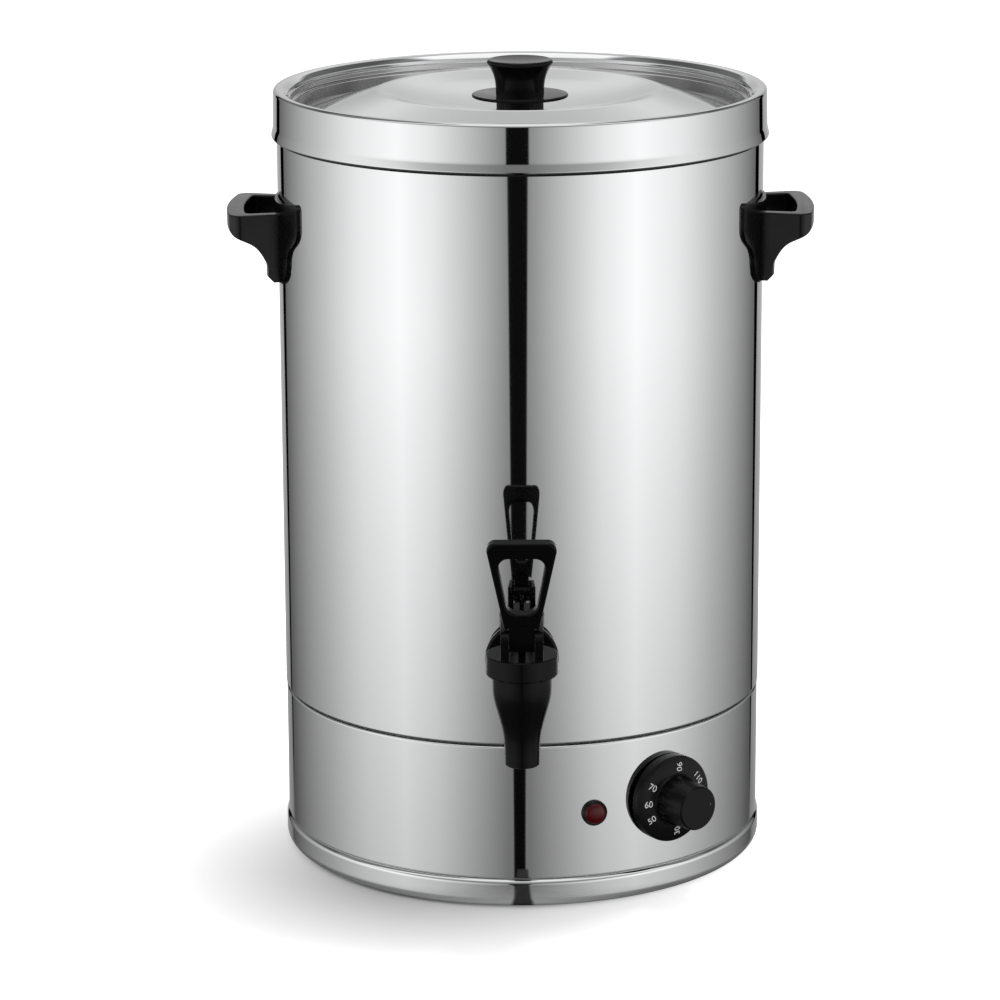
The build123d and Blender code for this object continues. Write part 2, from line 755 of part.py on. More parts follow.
with BuildPart() as tap_body:
    with BuildSketch(spout_plane):
        with BuildLine():
            lip_radius = spout_outlet_radius - spout_lip_chamfer
            lip_top = spout_mouth + spout_lip_chamfer
            Polyline((0, spout_mouth), (lip_radius, spout_mouth), (spout_outlet_radius, lip_top))
            Spline(
                (spout_outlet_radius, lip_top),
                (spout_waist_radius, spout_mouth + spout_waist_rise),
                (spout_belly_radius, spout_mouth + spout_belly_rise),
                (spout_top_radius, spout_shoulder),
                tangents=[(0.03, 1), (0, 1)],
            )
            Polyline((spout_top_radius, spout_shoulder), (0, spout_shoulder), (0, spout_mouth))
        make_face()
    revolve(axis=spout_axis)
    with BuildSketch(shank_plane):
        with BuildLine():
            Polyline(
                (shank_end, 0),
                (shank_end, tap_shank_radius - tap_nut_chamfer),
                (shank_end + tap_nut_chamfer, tap_shank_radius),
                (gasket_face, tap_shank_radius),
                (gasket_face, tap_flange_radius),
                (flange_face - tap_flange_chamfer, tap_flange_radius),
                (flange_face, tap_flange_radius - tap_flange_chamfer),
                (flange_face, tap_neck_radius),
                (spout_reach_total - valve_port_wall, tap_neck_radius),
                (spout_reach_total - valve_port_wall, 0),
                close=True,
            )
        make_face()
    revolve(axis=shank_axis)
    with BuildSketch(Plane.XY.offset(spout_shoulder)):
        with Locations((0, spout_axis_y)):
            Circle(bonnet_radius + tap_flange_chamfer)
    extrude(amount=bonnet_height + bonnet_seat_drop, mode=Mode.SUBTRACT)
    with BuildSketch(Plane.XY.offset(spout_shoulder)):
        with Locations((0, spout_axis_y)):
            Circle(thread_radius)
    extrude(amount=bonnet_ceiling - spout_shoulder - thread_clearance)
    with BuildSketch(Plane.XY.offset(valve_seat)):
        with Locations((0, spout_axis_y)):
            Circle(valve_chamber_radius)
    extrude(amount=bonnet_ceiling - valve_seat, mode=Mode.SUBTRACT)
    with BuildSketch(Plane.XY.offset(spout_mouth)):
        with Locations((0, spout_axis_y)):
            Circle(spout_outlet_bore)
    extrude(amount=valve_seat - valve_seat_height - spout_mouth, mode=Mode.SUBTRACT)
    with BuildSketch(Plane.XY.offset(spout_mouth)):
        with Locations((0, spout_axis_y)):
            Circle(valve_seat_bore)
    extrude(amount=valve_seat - spout_mouth, mode=Mode.SUBTRACT)
    with BuildSketch(face_plane(0, tap_height, shank_end)):
        Circle(tap_bore_radius)
    extrude(amount=bore_end - shank_end, mode=Mode.SUBTRACT)
    port_start = bore_end - valve_port_radius
    with BuildSketch(face_plane(0, tap_height - valve_port_drop, port_start)):
        Circle(valve_port_radius)
    extrude(amount=spout_reach_total - port_start, mode=Mode.SUBTRACT)

with BuildPart() as tap_bonnet:
    with BuildSketch(spout_plane):
        with BuildLine():
            Polyline(
                (thread_radius + thread_clearance, bonnet_foot),
                (bonnet_radius - bonnet_chamfer, bonnet_foot),
                (bonnet_radius, bonnet_foot + bonnet_chamfer),
                (bonnet_radius, bonnet_top_height - bonnet_chamfer / 2),
                (bonnet_radius - bonnet_chamfer / 2, bonnet_top_height),
                (stem_radius + pin_clearance, bonnet_top_height),
                (stem_radius + pin_clearance, bonnet_ceiling),
                (thread_radius + thread_clearance, bonnet_ceiling),
                close=True,
            )
        make_face()
    revolve(axis=spout_axis)
    for side in (1, -1):
        with BuildSketch(Plane.YZ.offset(side * (slot_half_width + cheek_thickness / 2))):
            with BuildLine():
                back_y = spout_axis_y + cheek_back
                Line((back_y, bonnet_top_height), (back_y, pivot_height + cheek_round))
                Line((back_y, pivot_height + cheek_round), (pivot_y, pivot_height + cheek_round))
                RadiusArc(
                    (pivot_y, pivot_height + cheek_round),
                    (pivot_y - cheek_round, pivot_height),
                    -cheek_round,
                )
                Line((pivot_y - cheek_round, pivot_height), (pivot_y - cheek_round, bonnet_top_height))
                Line((pivot_y - cheek_round, bonnet_top_height), (back_y, bonnet_top_height))
            make_face()
        extrude(amount=cheek_thickness / 2, both=True)
    with BuildSketch(Plane.YZ.offset(-cheek_half_width)):
        with Locations((pivot_y, pivot_height)):
            Circle(pin_radius + pin_press)
    extrude(amount=2 * cheek_half_width, mode=Mode.SUBTRACT)

with BuildPart() as tap_lever_pin:
    with BuildSketch(Plane.YZ.offset(-cheek_half_width)):
        with Locations((pivot_y, pivot_height)):
            Circle(pin_radius)
    extrude(amount=2 * cheek_half_width)

lean = math.radians(lever_lean)
lever_plane = Plane(
    origin=(0, pivot_y, pivot_height),
    x_dir=(1, 0, 0),
    z_dir=(0, -math.cos(lean), -math.sin(lean)),
)
with BuildPart() as tap_lever:
    with BuildSketch(lever_plane):
        with BuildLine():
            FilletPolyline(
                (-lever_foot_half_width, lever_foot_rise),
                (-lever_top_half_width, lever_length),
                (lever_top_half_width, lever_length),
                (lever_foot_half_width, lever_foot_rise),
                radius=lever_corner,
            )
            Polyline(
                (lever_foot_half_width, lever_foot_rise),
                (0, lever_foot_rise + lever_chevron),
                (-lever_foot_half_width, lever_foot_rise),
            )
        make_face()
        with BuildLine():
            window_top = lever_length - lever_window_top
            window_foot = window_top - lever_window_height
            FilletPolyline(
                (-lever_window_foot_half, window_foot),
                (-lever_window_top_half, window_top),
                (lever_window_top_half, window_top),
                (lever_window_foot_half, window_foot),
                radius=[
                    lever_window_foot_round,
                    lever_window_top_round,
                    lever_window_top_round,
                    lever_window_foot_round,
                ],
                close=True,
            )
        make_face(mode=Mode.SUBTRACT)
    extrude(amount=lever_thickness / 2, both=True)
    fillet(tap_lever.faces().filter_by(lever_plane).edges(), radius=lever_edge_round)
    with BuildSketch(lever_plane):
        with Locations((0, (lever_foot_rise + lever_chevron - lever_tongue_drop) / 2)):
            Rectangle(2 * lever_half_width, lever_foot_rise + lever_chevron + lever_tongue_drop)
    extrude(amount=lever_thickness / 2)
    with BuildSketch(Plane.YZ.offset(-lever_half_width)):
        with Locations((pivot_y, pivot_height)):
            Circle(lever_hub_radius)
        with BuildLine():
            fork_top = stem_head_foot - stem_lift_gap
            nose_y = spout_axis_y + fork_reach
            Line((pivot_y, fork_top), (nose_y, fork_top))
            RadiusArc((nose_y, fork_top), (nose_y, fork_top - fork_thickness), fork_thickness / 2)
            Line((nose_y, fork_top - fork_thickness), (pivot_y, fork_top - fork_thickness))
            Line((pivot_y, fork_top - fork_thickness), (pivot_y, fork_top))
        make_face()
    extrude(amount=2 * lever_half_width)
    slot_start = pivot_y + lever_slot_back
    with BuildSketch(Plane.XY.offset(pivot_height - 3 * fork_thickness)):
        with Locations((0, slot_start + pivot_ahead)):
            Rectangle(2 * (stem_radius + stem_slot), 2 * pivot_ahead)
    extrude(amount=6 * fork_thickness, mode=Mode.SUBTRACT)
    with BuildSketch(Plane.YZ.offset(-lever_half_width)):
        with Locations((pivot_y, pivot_height)):
            Circle(pin_radius + pin_clearance)
    extrude(amount=2 * lever_half_width, mode=Mode.SUBTRACT)

with BuildPart() as tap_stem:
    with BuildSketch(spout_plane):
        with BuildLine():
            stem_foot = collar_seat - seat_cup_height / 2
            Polyline(
                (0, stem_foot),
                (stem_radius, stem_foot),
                (stem_radius, collar_seat),
                (stem_collar_radius, collar_seat),
                (stem_collar_radius, collar_seat + stem_collar_height),
                (stem_radius, collar_seat + stem_collar_height),
                (stem_radius, stem_head_foot),
                (stem_head_radius, stem_head_foot),
                (stem_head_radius, stem_head_foot + stem_head_height),
                (0, stem_head_foot + stem_head_height),
                close=True,
            )
        make_face()
    revolve(axis=spout_axis)

with BuildPart() as tap_seat_cup:
    with BuildSketch(spout_plane):
        with BuildLine():
            nose_radius = seat_cup_radius / 2
            bulge_top = (seat_cup_radius, cup_foot + seat_cup_bulge)
            Line((0, cup_foot), (nose_radius, cup_foot))
            EllipticalCenterArc(
                (nose_radius, cup_foot + seat_cup_bulge),
                seat_cup_radius - nose_radius,
                seat_cup_bulge,
                start_angle=270,
                arc_size=90,
            )
            Polyline(
                bulge_top,
                (seat_cup_radius, collar_seat),
                (stem_radius, collar_seat),
                (stem_radius, stem_foot),
                (0, stem_foot),
                (0, cup_foot),
            )
        make_face()
    revolve(axis=spout_axis)

spring_foot = collar_seat + stem_collar_height + spring_wire_radius
spring_height = bonnet_ceiling - spring_wire_radius - spring_foot
with BuildPart() as tap_spring:
    with BuildLine() as coil:
        Helix(
            pitch=spring_height / spring_turns,
            height=spring_height,
            radius=spring_radius,
            center=(0, spout_axis_y, spring_foot),
        )
    with BuildSketch(Plane(origin=coil.line @ 0, z_dir=coil.line % 0)):
        Circle(spring_wire_radius)
    sweep(path=coil.line, is_frenet=True)

with BuildPart() as tap_gasket:
    with BuildSketch(face_plane(0, tap_height, body_radius - tap_gasket_thickness)):
        Circle(tap_gasket_radius)
        Circle(tap_shank_radius + hole_clearance, mode=Mode.SUBTRACT)
    extrude(amount=2 * tap_gasket_thickness)
    with BuildSketch(Plane.XY.offset(tap_height - tap_gasket_radius)):
        Circle(body_radius)
    extrude(amount=2 * tap_gasket_radius, mode=Mode.SUBTRACT)

with BuildPart() as tap_sleeve:
    with BuildSketch(face_plane(0, tap_height, tank_radius - tap_sleeve_wall)):
        Circle(tap_shank_radius + hole_clearance + tap_sleeve_wall)
        Circle(tap_shank_radius + hole_clearance, mode=Mode.SUBTRACT)
    extrude(amount=body_radius - tank_radius + tap_sleeve_wall)
    with BuildSketch(Plane.XY.offset(tap_height - 2 * tap_shank_radius)):
        Circle(shell_inside)
        Circle(tank_outside, mode=Mode.SUBTRACT)
    extrude(amount=4 * tap_shank_radius, mode=Mode.INTERSECT)

with BuildPart() as tap_seal:
    with BuildSketch(face_plane(0, tap_height, seal_inside)):
        Circle(tap_shank_radius + hole_clearance + tap_sleeve_wall)
        Circle(tap_shank_radius + hole_clearance, mode=Mode.SUBTRACT)
    extrude(amount=2 * tap_seal_thickness)
    with BuildSketch(Plane.XY.offset(tap_height - 2 * tap_shank_radius)):
        Circle(tank_radius)
    extrude(amount=4 * tap_shank_radius, mode=Mode.INTERSECT)

with BuildPart() as tap_nut:
    with BuildSketch(face_plane(0, tap_height, nut_inside)):
        RegularPolygon(radius=tap_nut_flats / 2, side_count=6, major_radius=False)
        Circle(tap_shank_radius + thread_clearance, mode=Mode.SUBTRACT)
    extrude(amount=tap_nut_thickness)
    nut_corners = tap_nut.edges().filter_by(GeomType.LINE).group_by(Axis.Y)[-1]
    chamfer(nut_corners, length=tap_nut_chamfer)

# ---- Controls ---------------------------------------------------------------------------------
dial_plane = spin_plane(dial_azimuth, dial_height)
dial_axis = radius_axis(dial_azimuth, dial_height)
dial_back = skirt_radius + dial_gap
dial_front = dial_back + dial_rim_thickness
grip_foot = dial_front + dial_cone_rise
grip_face = grip_foot + grip_length
skirt_inside = skirt_radius - jacket_sheet
stat_face = math.sqrt(skirt_inside**2 - stat_plate_half_width**2) - curve_gap
stat_inner = stat_face - stat_plate_thickness
stat_back = stat_inner - stat_body_depth


def dial_face(reach):
    """Plane square to the dial's axis."""
    return face_plane(dial_azimuth, dial_height, reach)


with BuildPart() as control_knob:
    with BuildSketch(dial_plane):
        with BuildLine():
            Polyline(
                (dial_back, 0),
                (dial_back, dial_radius),
                (dial_front - dial_chamfer, dial_radius),
                (dial_front, dial_radius - dial_chamfer * 2),
                (grip_foot, grip_foot_radius + grip_foot_round),
                (grip_foot + grip_foot_round, grip_foot_radius),
                (grip_face - grip_foot_round, grip_face_radius),
                (grip_face, grip_face_radius - grip_foot_round),
                (grip_face, 0),
                close=True,
            )
        make_face()
    revolve(axis=dial_axis)
    with BuildSketch(dial_face(grip_foot + 2 * grip_foot_round)):
        with PolarLocations(grip_foot_radius + flute_radius - flute_depth, grip_flutes):
            Circle(flute_radius)
    extrude(amount=grip_length, mode=Mode.SUBTRACT)
    with BuildSketch(dial_face(dial_back)):
        Circle(shaft_radius)
        with Locations((0, -shaft_radius)):
            Rectangle(2 * shaft_radius, 2 * shaft_flat, mode=Mode.SUBTRACT)
    extrude(amount=shaft_depth, mode=Mode.SUBTRACT)

with BuildPart() as thermostat_shaft:
    with BuildSketch(dial_face(dial_back)):
        Circle(shaft_radius)
        with Locations((0, -shaft_radius)):
            Rectangle(2 * shaft_radius, 2 * shaft_flat, mode=Mode.SUBTRACT)
    extrude(amount=shaft_depth)
    with BuildSketch(dial_face(stat_inner)):
        Circle(shaft_radius)
    extrude(amount=dial_back - stat_inner)

with BuildPart() as thermostat_body:
    with BuildSketch(dial_face(stat_inner)):
        RectangleRounded(2 * stat_plate_half_width, stat_plate_height, stat_plate_corner)
        with GridLocations(stat_screw_pitch, 0, 2, 1):
            Circle(stat_screw_radius, mode=Mode.SUBTRACT)
    extrude(amount=stat_plate_thickness)
    with BuildSketch(dial_face(stat_face)):
        Circle(stat_bush_radius)
    extrude(amount=skirt_radius + stat_bush_proud - stat_face)
    with BuildSketch(dial_face(stat_back)):
        Circle(stat_body_radius)
    extrude(amount=stat_body_depth)
    with BuildSketch(dial_face(stat_back - blade_height)):
        with GridLocations(stat_blade_pitch_x, stat_blade_pitch_y, 2, 2):
            Rectangle(blade_width, blade_thickness)
    extrude(amount=blade_height)
    with BuildSketch(dial_face(stat_inner)):
        Circle(shaft_radius + shaft_clearance)
    extrude(amount=dial_back - stat_inner, mode=Mode.SUBTRACT)
    pocket_depth = stat_screw_end + stat_screw_relief
    with BuildSketch(dial_face(stat_inner - pocket_depth)):
        with GridLocations(stat_screw_pitch, 0, 2, 1):
            Circle(stat_screw_radius)
    extrude(amount=pocket_depth, mode=Mode.SUBTRACT)

with BuildPart() as thermostat_screws:
    head_inner = stat_screw_pitch / 2 - stat_screw_head_radius
    head_reach = math.sqrt(skirt_radius**2 - head_inner**2) + seat_clearance
    with BuildSketch(dial_face(head_reach)):
        with GridLocations(stat_screw_pitch, 0, 2, 1):
            Circle(stat_screw_head_radius)
    extrude(amount=stat_screw_head_height)
    with BuildSketch(dial_face(stat_inner - stat_screw_end)):
        with GridLocations(stat_screw_pitch, 0, 2, 1):
            Circle(stat_screw_radius - press_fit)
    extrude(amount=head_reach - stat_inner + stat_screw_end)

lamp_plane = spin_plane(lamp_azimuth, lamp_height)
lamp_axis = radius_axis(lamp_azimuth, lamp_height)
bezel_back = skirt_radius + seat_clearance
bezel_front = bezel_back + lamp_bezel_proud
lens_back = bezel_back + lamp_lens_seat
barrel_end = bezel_back - lamp_barrel_length

with BuildPart() as pilot_lamp_body:
    with BuildSketch(lamp_plane):
        with BuildLine():
            Polyline(
                (barrel_end, 0),
                (barrel_end, lamp_barrel_radius),
                (bezel_back, lamp_barrel_radius),
                (bezel_back, lamp_bezel_radius),
                (bezel_front - lamp_bezel_chamfer, lamp_bezel_radius),
                (bezel_front, lamp_bezel_radius - lamp_bezel_chamfer),
                (bezel_front, lamp_lens_radius),
                (lens_back, lamp_lens_radius),
                (lens_back, 0),
                close=True,
            )
        make_face()
    revolve(axis=lamp_axis)
    with BuildSketch(face_plane(lamp_azimuth, lamp_height, barrel_end - lamp_blade_length)):
        with GridLocations(lamp_blade_pitch, 0, 2, 1):
            Rectangle(blade_thickness, lamp_blade_width)
    extrude(amount=lamp_blade_length)

with BuildPart() as pilot_lamp_lens:
    with BuildSketch(lamp_plane):
        with BuildLine():
            Line((lens_back, 0), (lens_back, lamp_lens_radius))
            Line((lens_back, lamp_lens_radius), (bezel_front, lamp_lens_radius))
            EllipticalCenterArc(
                (bezel_front, 0), lamp_dome, lamp_lens_radius, start_angle=0, arc_size=90
            )
            Line((bezel_front + lamp_dome, 0), (lens_back, 0))
        make_face()
    revolve(axis=lamp_axis)

with BuildPart() as pilot_lamp_clip:
    clip_face = math.sqrt(skirt_inside**2 - lamp_nut_radius**2) - curve_gap
    with BuildSketch(face_plane(lamp_azimuth, lamp_height, clip_face - lamp_nut_thickness)):
        Circle(lamp_nut_radius)
        Circle(lamp_barrel_radius + curve_gap, mode=Mode.SUBTRACT)
    extrude(amount=lamp_nut_thickness)

# ---- Heating ----------------------------------------------------------------------------------
loop_height = tank_floor + element_rise
leg_x = element_leg_pitch / 2
with BuildPart() as heating_element:
    with BuildLine() as element_path:
        FilletPolyline(
            (-leg_x, element_leg_y, tank_underside - element_tail),
            (-leg_x, element_leg_y, loop_height),
            (-leg_x, element_half_width, loop_height),
            (-element_half_length, element_half_width, loop_height),
            (-element_half_length, -element_half_width, loop_height),
            (element_half_length, -element_half_width, loop_height),
            (element_half_length, element_half_width, loop_height),
            (leg_x, element_half_width, loop_height),
            (leg_x, element_leg_y, loop_height),
            (leg_x, element_leg_y, tank_underside - element_tail),
            radius=[
                element_bend,
                element_bend,
                element_corner,
                element_corner,
                element_corner,
                element_corner,
                element_bend,
                element_bend,
            ],
        )
    leg_plane = Plane(origin=element_path.line @ 0, z_dir=element_path.line % 0)
    with BuildSketch(leg_plane):
        Circle(element_radius)
    sweep(path=element_path.line)

with BuildPart() as element_bushes:
    with BuildSketch(Plane.XY.offset(tank_floor + bush_seal_thickness)):
        with Locations((-leg_x, element_leg_y), (leg_x, element_leg_y)):
            Circle(bush_head_radius)
            Circle(element_radius + press_fit, mode=Mode.SUBTRACT)
    extrude(amount=bush_head_height)
    with BuildSketch(Plane.XY.offset(tank_floor + bush_seal_thickness - bush_length)):
        with Locations((-leg_x, element_leg_y), (leg_x, element_leg_y)):
            Circle(bush_radius)
            Circle(element_radius + press_fit, mode=Mode.SUBTRACT)
    extrude(amount=bush_length)

with BuildPart() as element_seals:
    with BuildSketch(Plane.XY.offset(tank_floor)):
        with Locations((-leg_x, element_leg_y), (leg_x, element_leg_y)):
            Circle(bush_head_radius)
            Circle(bush_radius + bush_seal_clearance, mode=Mode.SUBTRACT)
    extrude(amount=bush_seal_thickness)

with BuildPart() as element_nuts:
    with BuildSketch(Plane.XY.offset(tank_underside - bush_nut_thickness)):
        with Locations((-leg_x, element_leg_y), (leg_x, element_leg_y)):
            RegularPolygon(radius=bush_nut_flats / 2, side_count=6, major_radius=False)
            Circle(bush_radius + thread_clearance, mode=Mode.SUBTRACT)
    extrude(amount=bush_nut_thickness)

with BuildPart() as thermal_cutout:
    with BuildSketch(Plane.XY.offset(tank_underside - cutout_cap_height)):
        with Locations((cutout_x, cutout_y)):
            Circle(cutout_radius)
            Rectangle(2 * cutout_ear_length, cutout_ear_width)
    extrude(amount=cutout_cap_height)
    with BuildSketch(Plane.XY.offset(tank_underside - cutout_cap_height - cutout_body_height)):
        with Locations((cutout_x, cutout_y)):
            Circle(cutout_radius + cutout_body_lip)
    extrude(amount=cutout_body_height)
    blade_foot = tank_underside - cutout_cap_height - cutout_body_height - blade_height
    with BuildSketch(Plane.XY.offset(blade_foot)):
        with Locations((cutout_x, cutout_y)):
            with GridLocations(cutout_blade_pitch, 0, 2, 1):
                Rectangle(blade_thickness, blade_width)
    extrude(amount=blade_height)

bulb_axis_height = tank_underside - bulb_pocket_wall - bulb_radius
with BuildPart() as thermostat_bulb:
    with BuildSketch(Plane.XZ.offset(-bulb_length / 2)):
        with Locations((bulb_x, bulb_axis_height)):
            Circle(bulb_radius)
    extrude(amount=bulb_length)

with BuildPart() as bulb_clip:
    with BuildSketch(Plane.XZ.offset(-bulb_clip_length / 2)):
        with Locations((bulb_x, bulb_axis_height)):
            Rectangle(2 * bulb_clip_half_width, 2 * (bulb_radius + bulb_pocket_wall))
            Circle(bulb_radius + press_fit, mode=Mode.SUBTRACT)
    extrude(amount=bulb_clip_length)

# ---- Base -------------------------------------------------------------------------------------
plate_underside = foot_proud + plinth_sheet
base_plate_radius = plinth_radius - plinth_round - base_plate_play
foot_ring = base_plate_radius - foot_inset
vent_ring = foot_ring - vent_inset
plate_topside = plate_underside + base_plate_sheet
plinth_inside = plinth_radius - plinth_sheet
screw_ring = plinth_inside - plinth_round - flange_width - tab_screw_inset

with BuildPart() as base_plate:
    with BuildSketch(Plane.XY.offset(plate_underside)):
        Circle(base_plate_radius)
        with PolarLocations(foot_ring, foot_count, start_angle=45):
            Circle(foot_plug_radius, mode=Mode.SUBTRACT)
        with PolarLocations(screw_ring, tab_count):
            Circle(tab_screw_radius + hole_clearance, mode=Mode.SUBTRACT)
        with PolarLocations(vent_ring, vent_count, start_angle=22.5):
            SlotOverall(vent_length, vent_width, mode=Mode.SUBTRACT)
    extrude(amount=base_plate_sheet)

with BuildPart() as rubber_feet:
    with BuildSketch(Plane.XY):
        with PolarLocations(foot_ring, foot_count, start_angle=45):
            Circle(foot_radius)
    extrude(amount=plate_underside)
    with BuildSketch(Plane.XY.offset(plate_underside)):
        with PolarLocations(foot_ring, foot_count, start_angle=45):
            Circle(foot_plug_radius - press_fit)
    extrude(amount=base_plate_sheet)
    with BuildSketch(Plane.XY.offset(plate_topside)):
        with PolarLocations(foot_ring, foot_count, start_angle=45):
            Circle(foot_barb_radius)
    extrude(amount=foot_barb_height, taper=foot_barb_taper)

with BuildPart() as base_tabs:
    with BuildSketch(Plane.XZ.offset(-tab_width / 2)):
        with BuildLine():
            FilletPolyline(
                (plinth_inside - tab_length, plate_topside),
                (plinth_inside, plate_topside),
                (plinth_inside, plate_topside + tab_upright),
                radius=plinth_round + plinth_sheet,
            )
            offset(amount=tab_sheet, side=Side.LEFT)
        make_face()
    extrude(amount=tab_width)
    with BuildSketch(Plane.XY.offset(plate_topside)):
        with Locations((screw_ring, 0)):
            Circle(tab_screw_radius)
    extrude(amount=tab_sheet, mode=Mode.SUBTRACT)
    with BuildSketch(Plane.XY.offset(plate_topside)):
        Circle(plinth_inside - seat_clearance)
    extrude(amount=tab_upright, mode=Mode.INTERSECT)
    one_tab = base_tabs.part
    for number in range(1, tab_count):
        add(one_tab.rotate(Axis.Z, 360 * number / tab_count))

with BuildPart() as base_screws:
    with BuildSketch(Plane.XY.offset(plate_underside)):
        with PolarLocations(screw_ring, tab_count):
            Circle(tab_screw_radius - press_fit)
    extrude(amount=tab_screw_length)
    with BuildSketch(Plane.XY.offset(plate_underside - tab_screw_head_height)):
        with PolarLocations(screw_ring, tab_count):
            Circle(tab_screw_head_radius)
    extrude(amount=tab_screw_head_height)

gland_plane = spin_plane(gland_azimuth, gland_height)
gland_axis = radius_axis(gland_azimuth, gland_height)
gland_seat = skirt_radius + seat_clearance
gland_mouth = gland_seat + gland_hex_thickness + gland_dome_length
gland_inner_end = skirt_inside - gland_length_inside
nose_start = gland_mouth - gland_dome_nose
nose_height = gland_dome_radius - gland_bore - gland_mouth_wall
with BuildPart() as cord_gland:
    with BuildSketch(gland_plane):
        with BuildLine():
            Polyline(
                (gland_inner_end, gland_bore),
                (gland_inner_end, gland_thread_radius),
                (gland_seat + gland_hex_thickness, gland_thread_radius),
                (gland_seat + gland_hex_thickness, gland_dome_radius),
                (nose_start, gland_dome_radius),
            )
            EllipticalCenterArc(
                (nose_start, gland_bore + gland_mouth_wall),
                gland_dome_nose,
                nose_height,
                start_angle=0,
                arc_size=90,
            )
            Polyline(
                (gland_mouth, gland_bore + gland_mouth_wall),
                (gland_mouth, gland_bore),
                (gland_inner_end, gland_bore),
            )
        make_face()
    revolve(axis=gland_axis)
    with BuildSketch(face_plane(gland_azimuth, gland_height, gland_seat)):
        RegularPolygon(radius=gland_hex_flats / 2, side_count=6, major_radius=False)
        Circle(gland_bore, mode=Mode.SUBTRACT)
    extrude(amount=gland_hex_thickness)

with BuildPart() as cord_gland_nut:
    nut_half = gland_nut_flats / 2 / math.cos(math.pi / 6)
    nut_face = math.sqrt(skirt_inside**2 - nut_half**2) - curve_gap
    with BuildSketch(face_plane(gland_azimuth, gland_height, nut_face - gland_nut_thickness)):
        RegularPolygon(radius=gland_nut_flats / 2, side_count=6, major_radius=False)
        Circle(gland_thread_radius + thread_clearance, mode=Mode.SUBTRACT)
    extrude(amount=gland_nut_thickness)

with BuildPart() as terminal_block:
    with BuildSketch(Plane.XY.offset(plate_topside)):
        with Locations((0, block_y)):
            Rectangle(block_length, block_width)
    extrude(amount=block_height * 0.5)
    with BuildSketch(Plane.XY.offset(plate_topside + block_height * 0.5)):
        with Locations((0, block_y)):
            Rectangle(block_length, block_width * block_step)
    extrude(amount=block_height * 0.5)
    pole_pitch = block_length / block_poles
    with BuildSketch(Plane.XY.offset(plate_topside + block_height * 0.6)):
        with Locations((0, block_y)):
            with GridLocations(pole_pitch, 0, block_poles, 1):
                Circle(pole_pitch * block_pole_share)
    extrude(amount=block_height, mode=Mode.SUBTRACT)

# ---- Write the pieces -------------------------------------------------------------------------
pieces = {
    "outer_shell": outer_shell,
    "base_skirt": base_skirt,
    "plinth_ring": plinth_ring,
    "rim_collar": rim_collar,
    "inner_tank": inner_tank,
    "lid": lid,
    "lid_knob_guard": lid_knob_guard,
    "lid_knob": lid_knob,
    "lid_knob_washer": lid_knob_washer,
    "lid_knob_screw": lid_knob_screw,
    "handle_right": handle_right,
    "handle_left": handle_left,
    "handle_screws": handle_screws,
    "tap_body": tap_body,
    "tap_bonnet": tap_bonnet,
    "tap_lever": tap_lever,
    "tap_lever_pin": tap_lever_pin,
    "tap_stem": tap_stem,
    "tap_seat_cup": tap_seat_cup,
    "tap_spring": tap_spring,
    "tap_gasket": tap_gasket,
    "tap_sleeve": tap_sleeve,
    "tap_seal": tap_seal,
    "tap_nut": tap_nut,
    "control_knob": control_knob,
    "thermostat_shaft": thermostat_shaft,
    "thermostat_body": thermostat_body,
    "thermostat_screws": thermostat_screws,
    "pilot_lamp_body": pilot_lamp_body,
    "pilot_lamp_lens": pilot_lamp_lens,
    "pilot_lamp_clip": pilot_lamp_clip,
    "heating_element": heating_element,
    "element_bushes": element_bushes,
    "element_seals": element_seals,
    "element_nuts": element_nuts,
    "thermal_cutout": thermal_cutout,
    "thermostat_bulb": thermostat_bulb,
    "bulb_clip": bulb_clip,
    "base_plate": base_plate,
    "rubber_feet": rubber_feet,
    "base_tabs": base_tabs,
    "base_screws": base_screws,
    "cord_gland": cord_gland,
    "cord_gland_nut": cord_gland_nut,
    "terminal_block": terminal_block,
}
for name, piece in pieces.items():
    write(piece.part, name)
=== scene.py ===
"""Dresses a packed hot water urn: polished sheet, mouldings, fittings, studio and camera.

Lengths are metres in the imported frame: Z is up, the tap is at the front on -Y.
"""

import logging
import math
from collections.abc import Sequence
from dataclasses import dataclass
from enum import Enum

import bmesh
import bpy
from mathutils import Matrix, Vector

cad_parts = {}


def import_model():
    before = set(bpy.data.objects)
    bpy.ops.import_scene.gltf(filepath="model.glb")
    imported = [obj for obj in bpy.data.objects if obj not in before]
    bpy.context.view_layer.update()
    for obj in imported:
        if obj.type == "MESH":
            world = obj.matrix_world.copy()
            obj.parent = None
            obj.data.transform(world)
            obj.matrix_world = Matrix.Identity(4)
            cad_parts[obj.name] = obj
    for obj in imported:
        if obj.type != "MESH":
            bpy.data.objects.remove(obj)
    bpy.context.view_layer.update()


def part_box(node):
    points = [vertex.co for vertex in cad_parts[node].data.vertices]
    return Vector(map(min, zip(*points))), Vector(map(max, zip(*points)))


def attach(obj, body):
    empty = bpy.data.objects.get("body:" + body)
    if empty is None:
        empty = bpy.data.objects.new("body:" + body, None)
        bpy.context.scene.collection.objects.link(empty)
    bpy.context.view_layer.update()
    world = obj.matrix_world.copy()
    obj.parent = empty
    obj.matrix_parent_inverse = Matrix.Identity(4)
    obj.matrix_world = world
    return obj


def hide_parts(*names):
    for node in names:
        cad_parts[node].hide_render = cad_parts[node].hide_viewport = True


LOG = logging.getLogger("urn")
MM = 0.001
WELD = 1e-7
SPUN_WELD = 1e-6
PACKED_WELD = 2e-6
FLAT = math.radians(0.6)
Point = tuple[float, float]
Triple = tuple[float, float, float]
Socket = bpy.types.NodeSocket
Thing = bpy.types.Object


class Body(Enum):
    """The bodies that pieces ride on."""

    URN = "urn"
    LID = "lid"
    LEVER = "lever"
    DIAL = "dial"


# ---------------------------------------------------------------------------- finishes


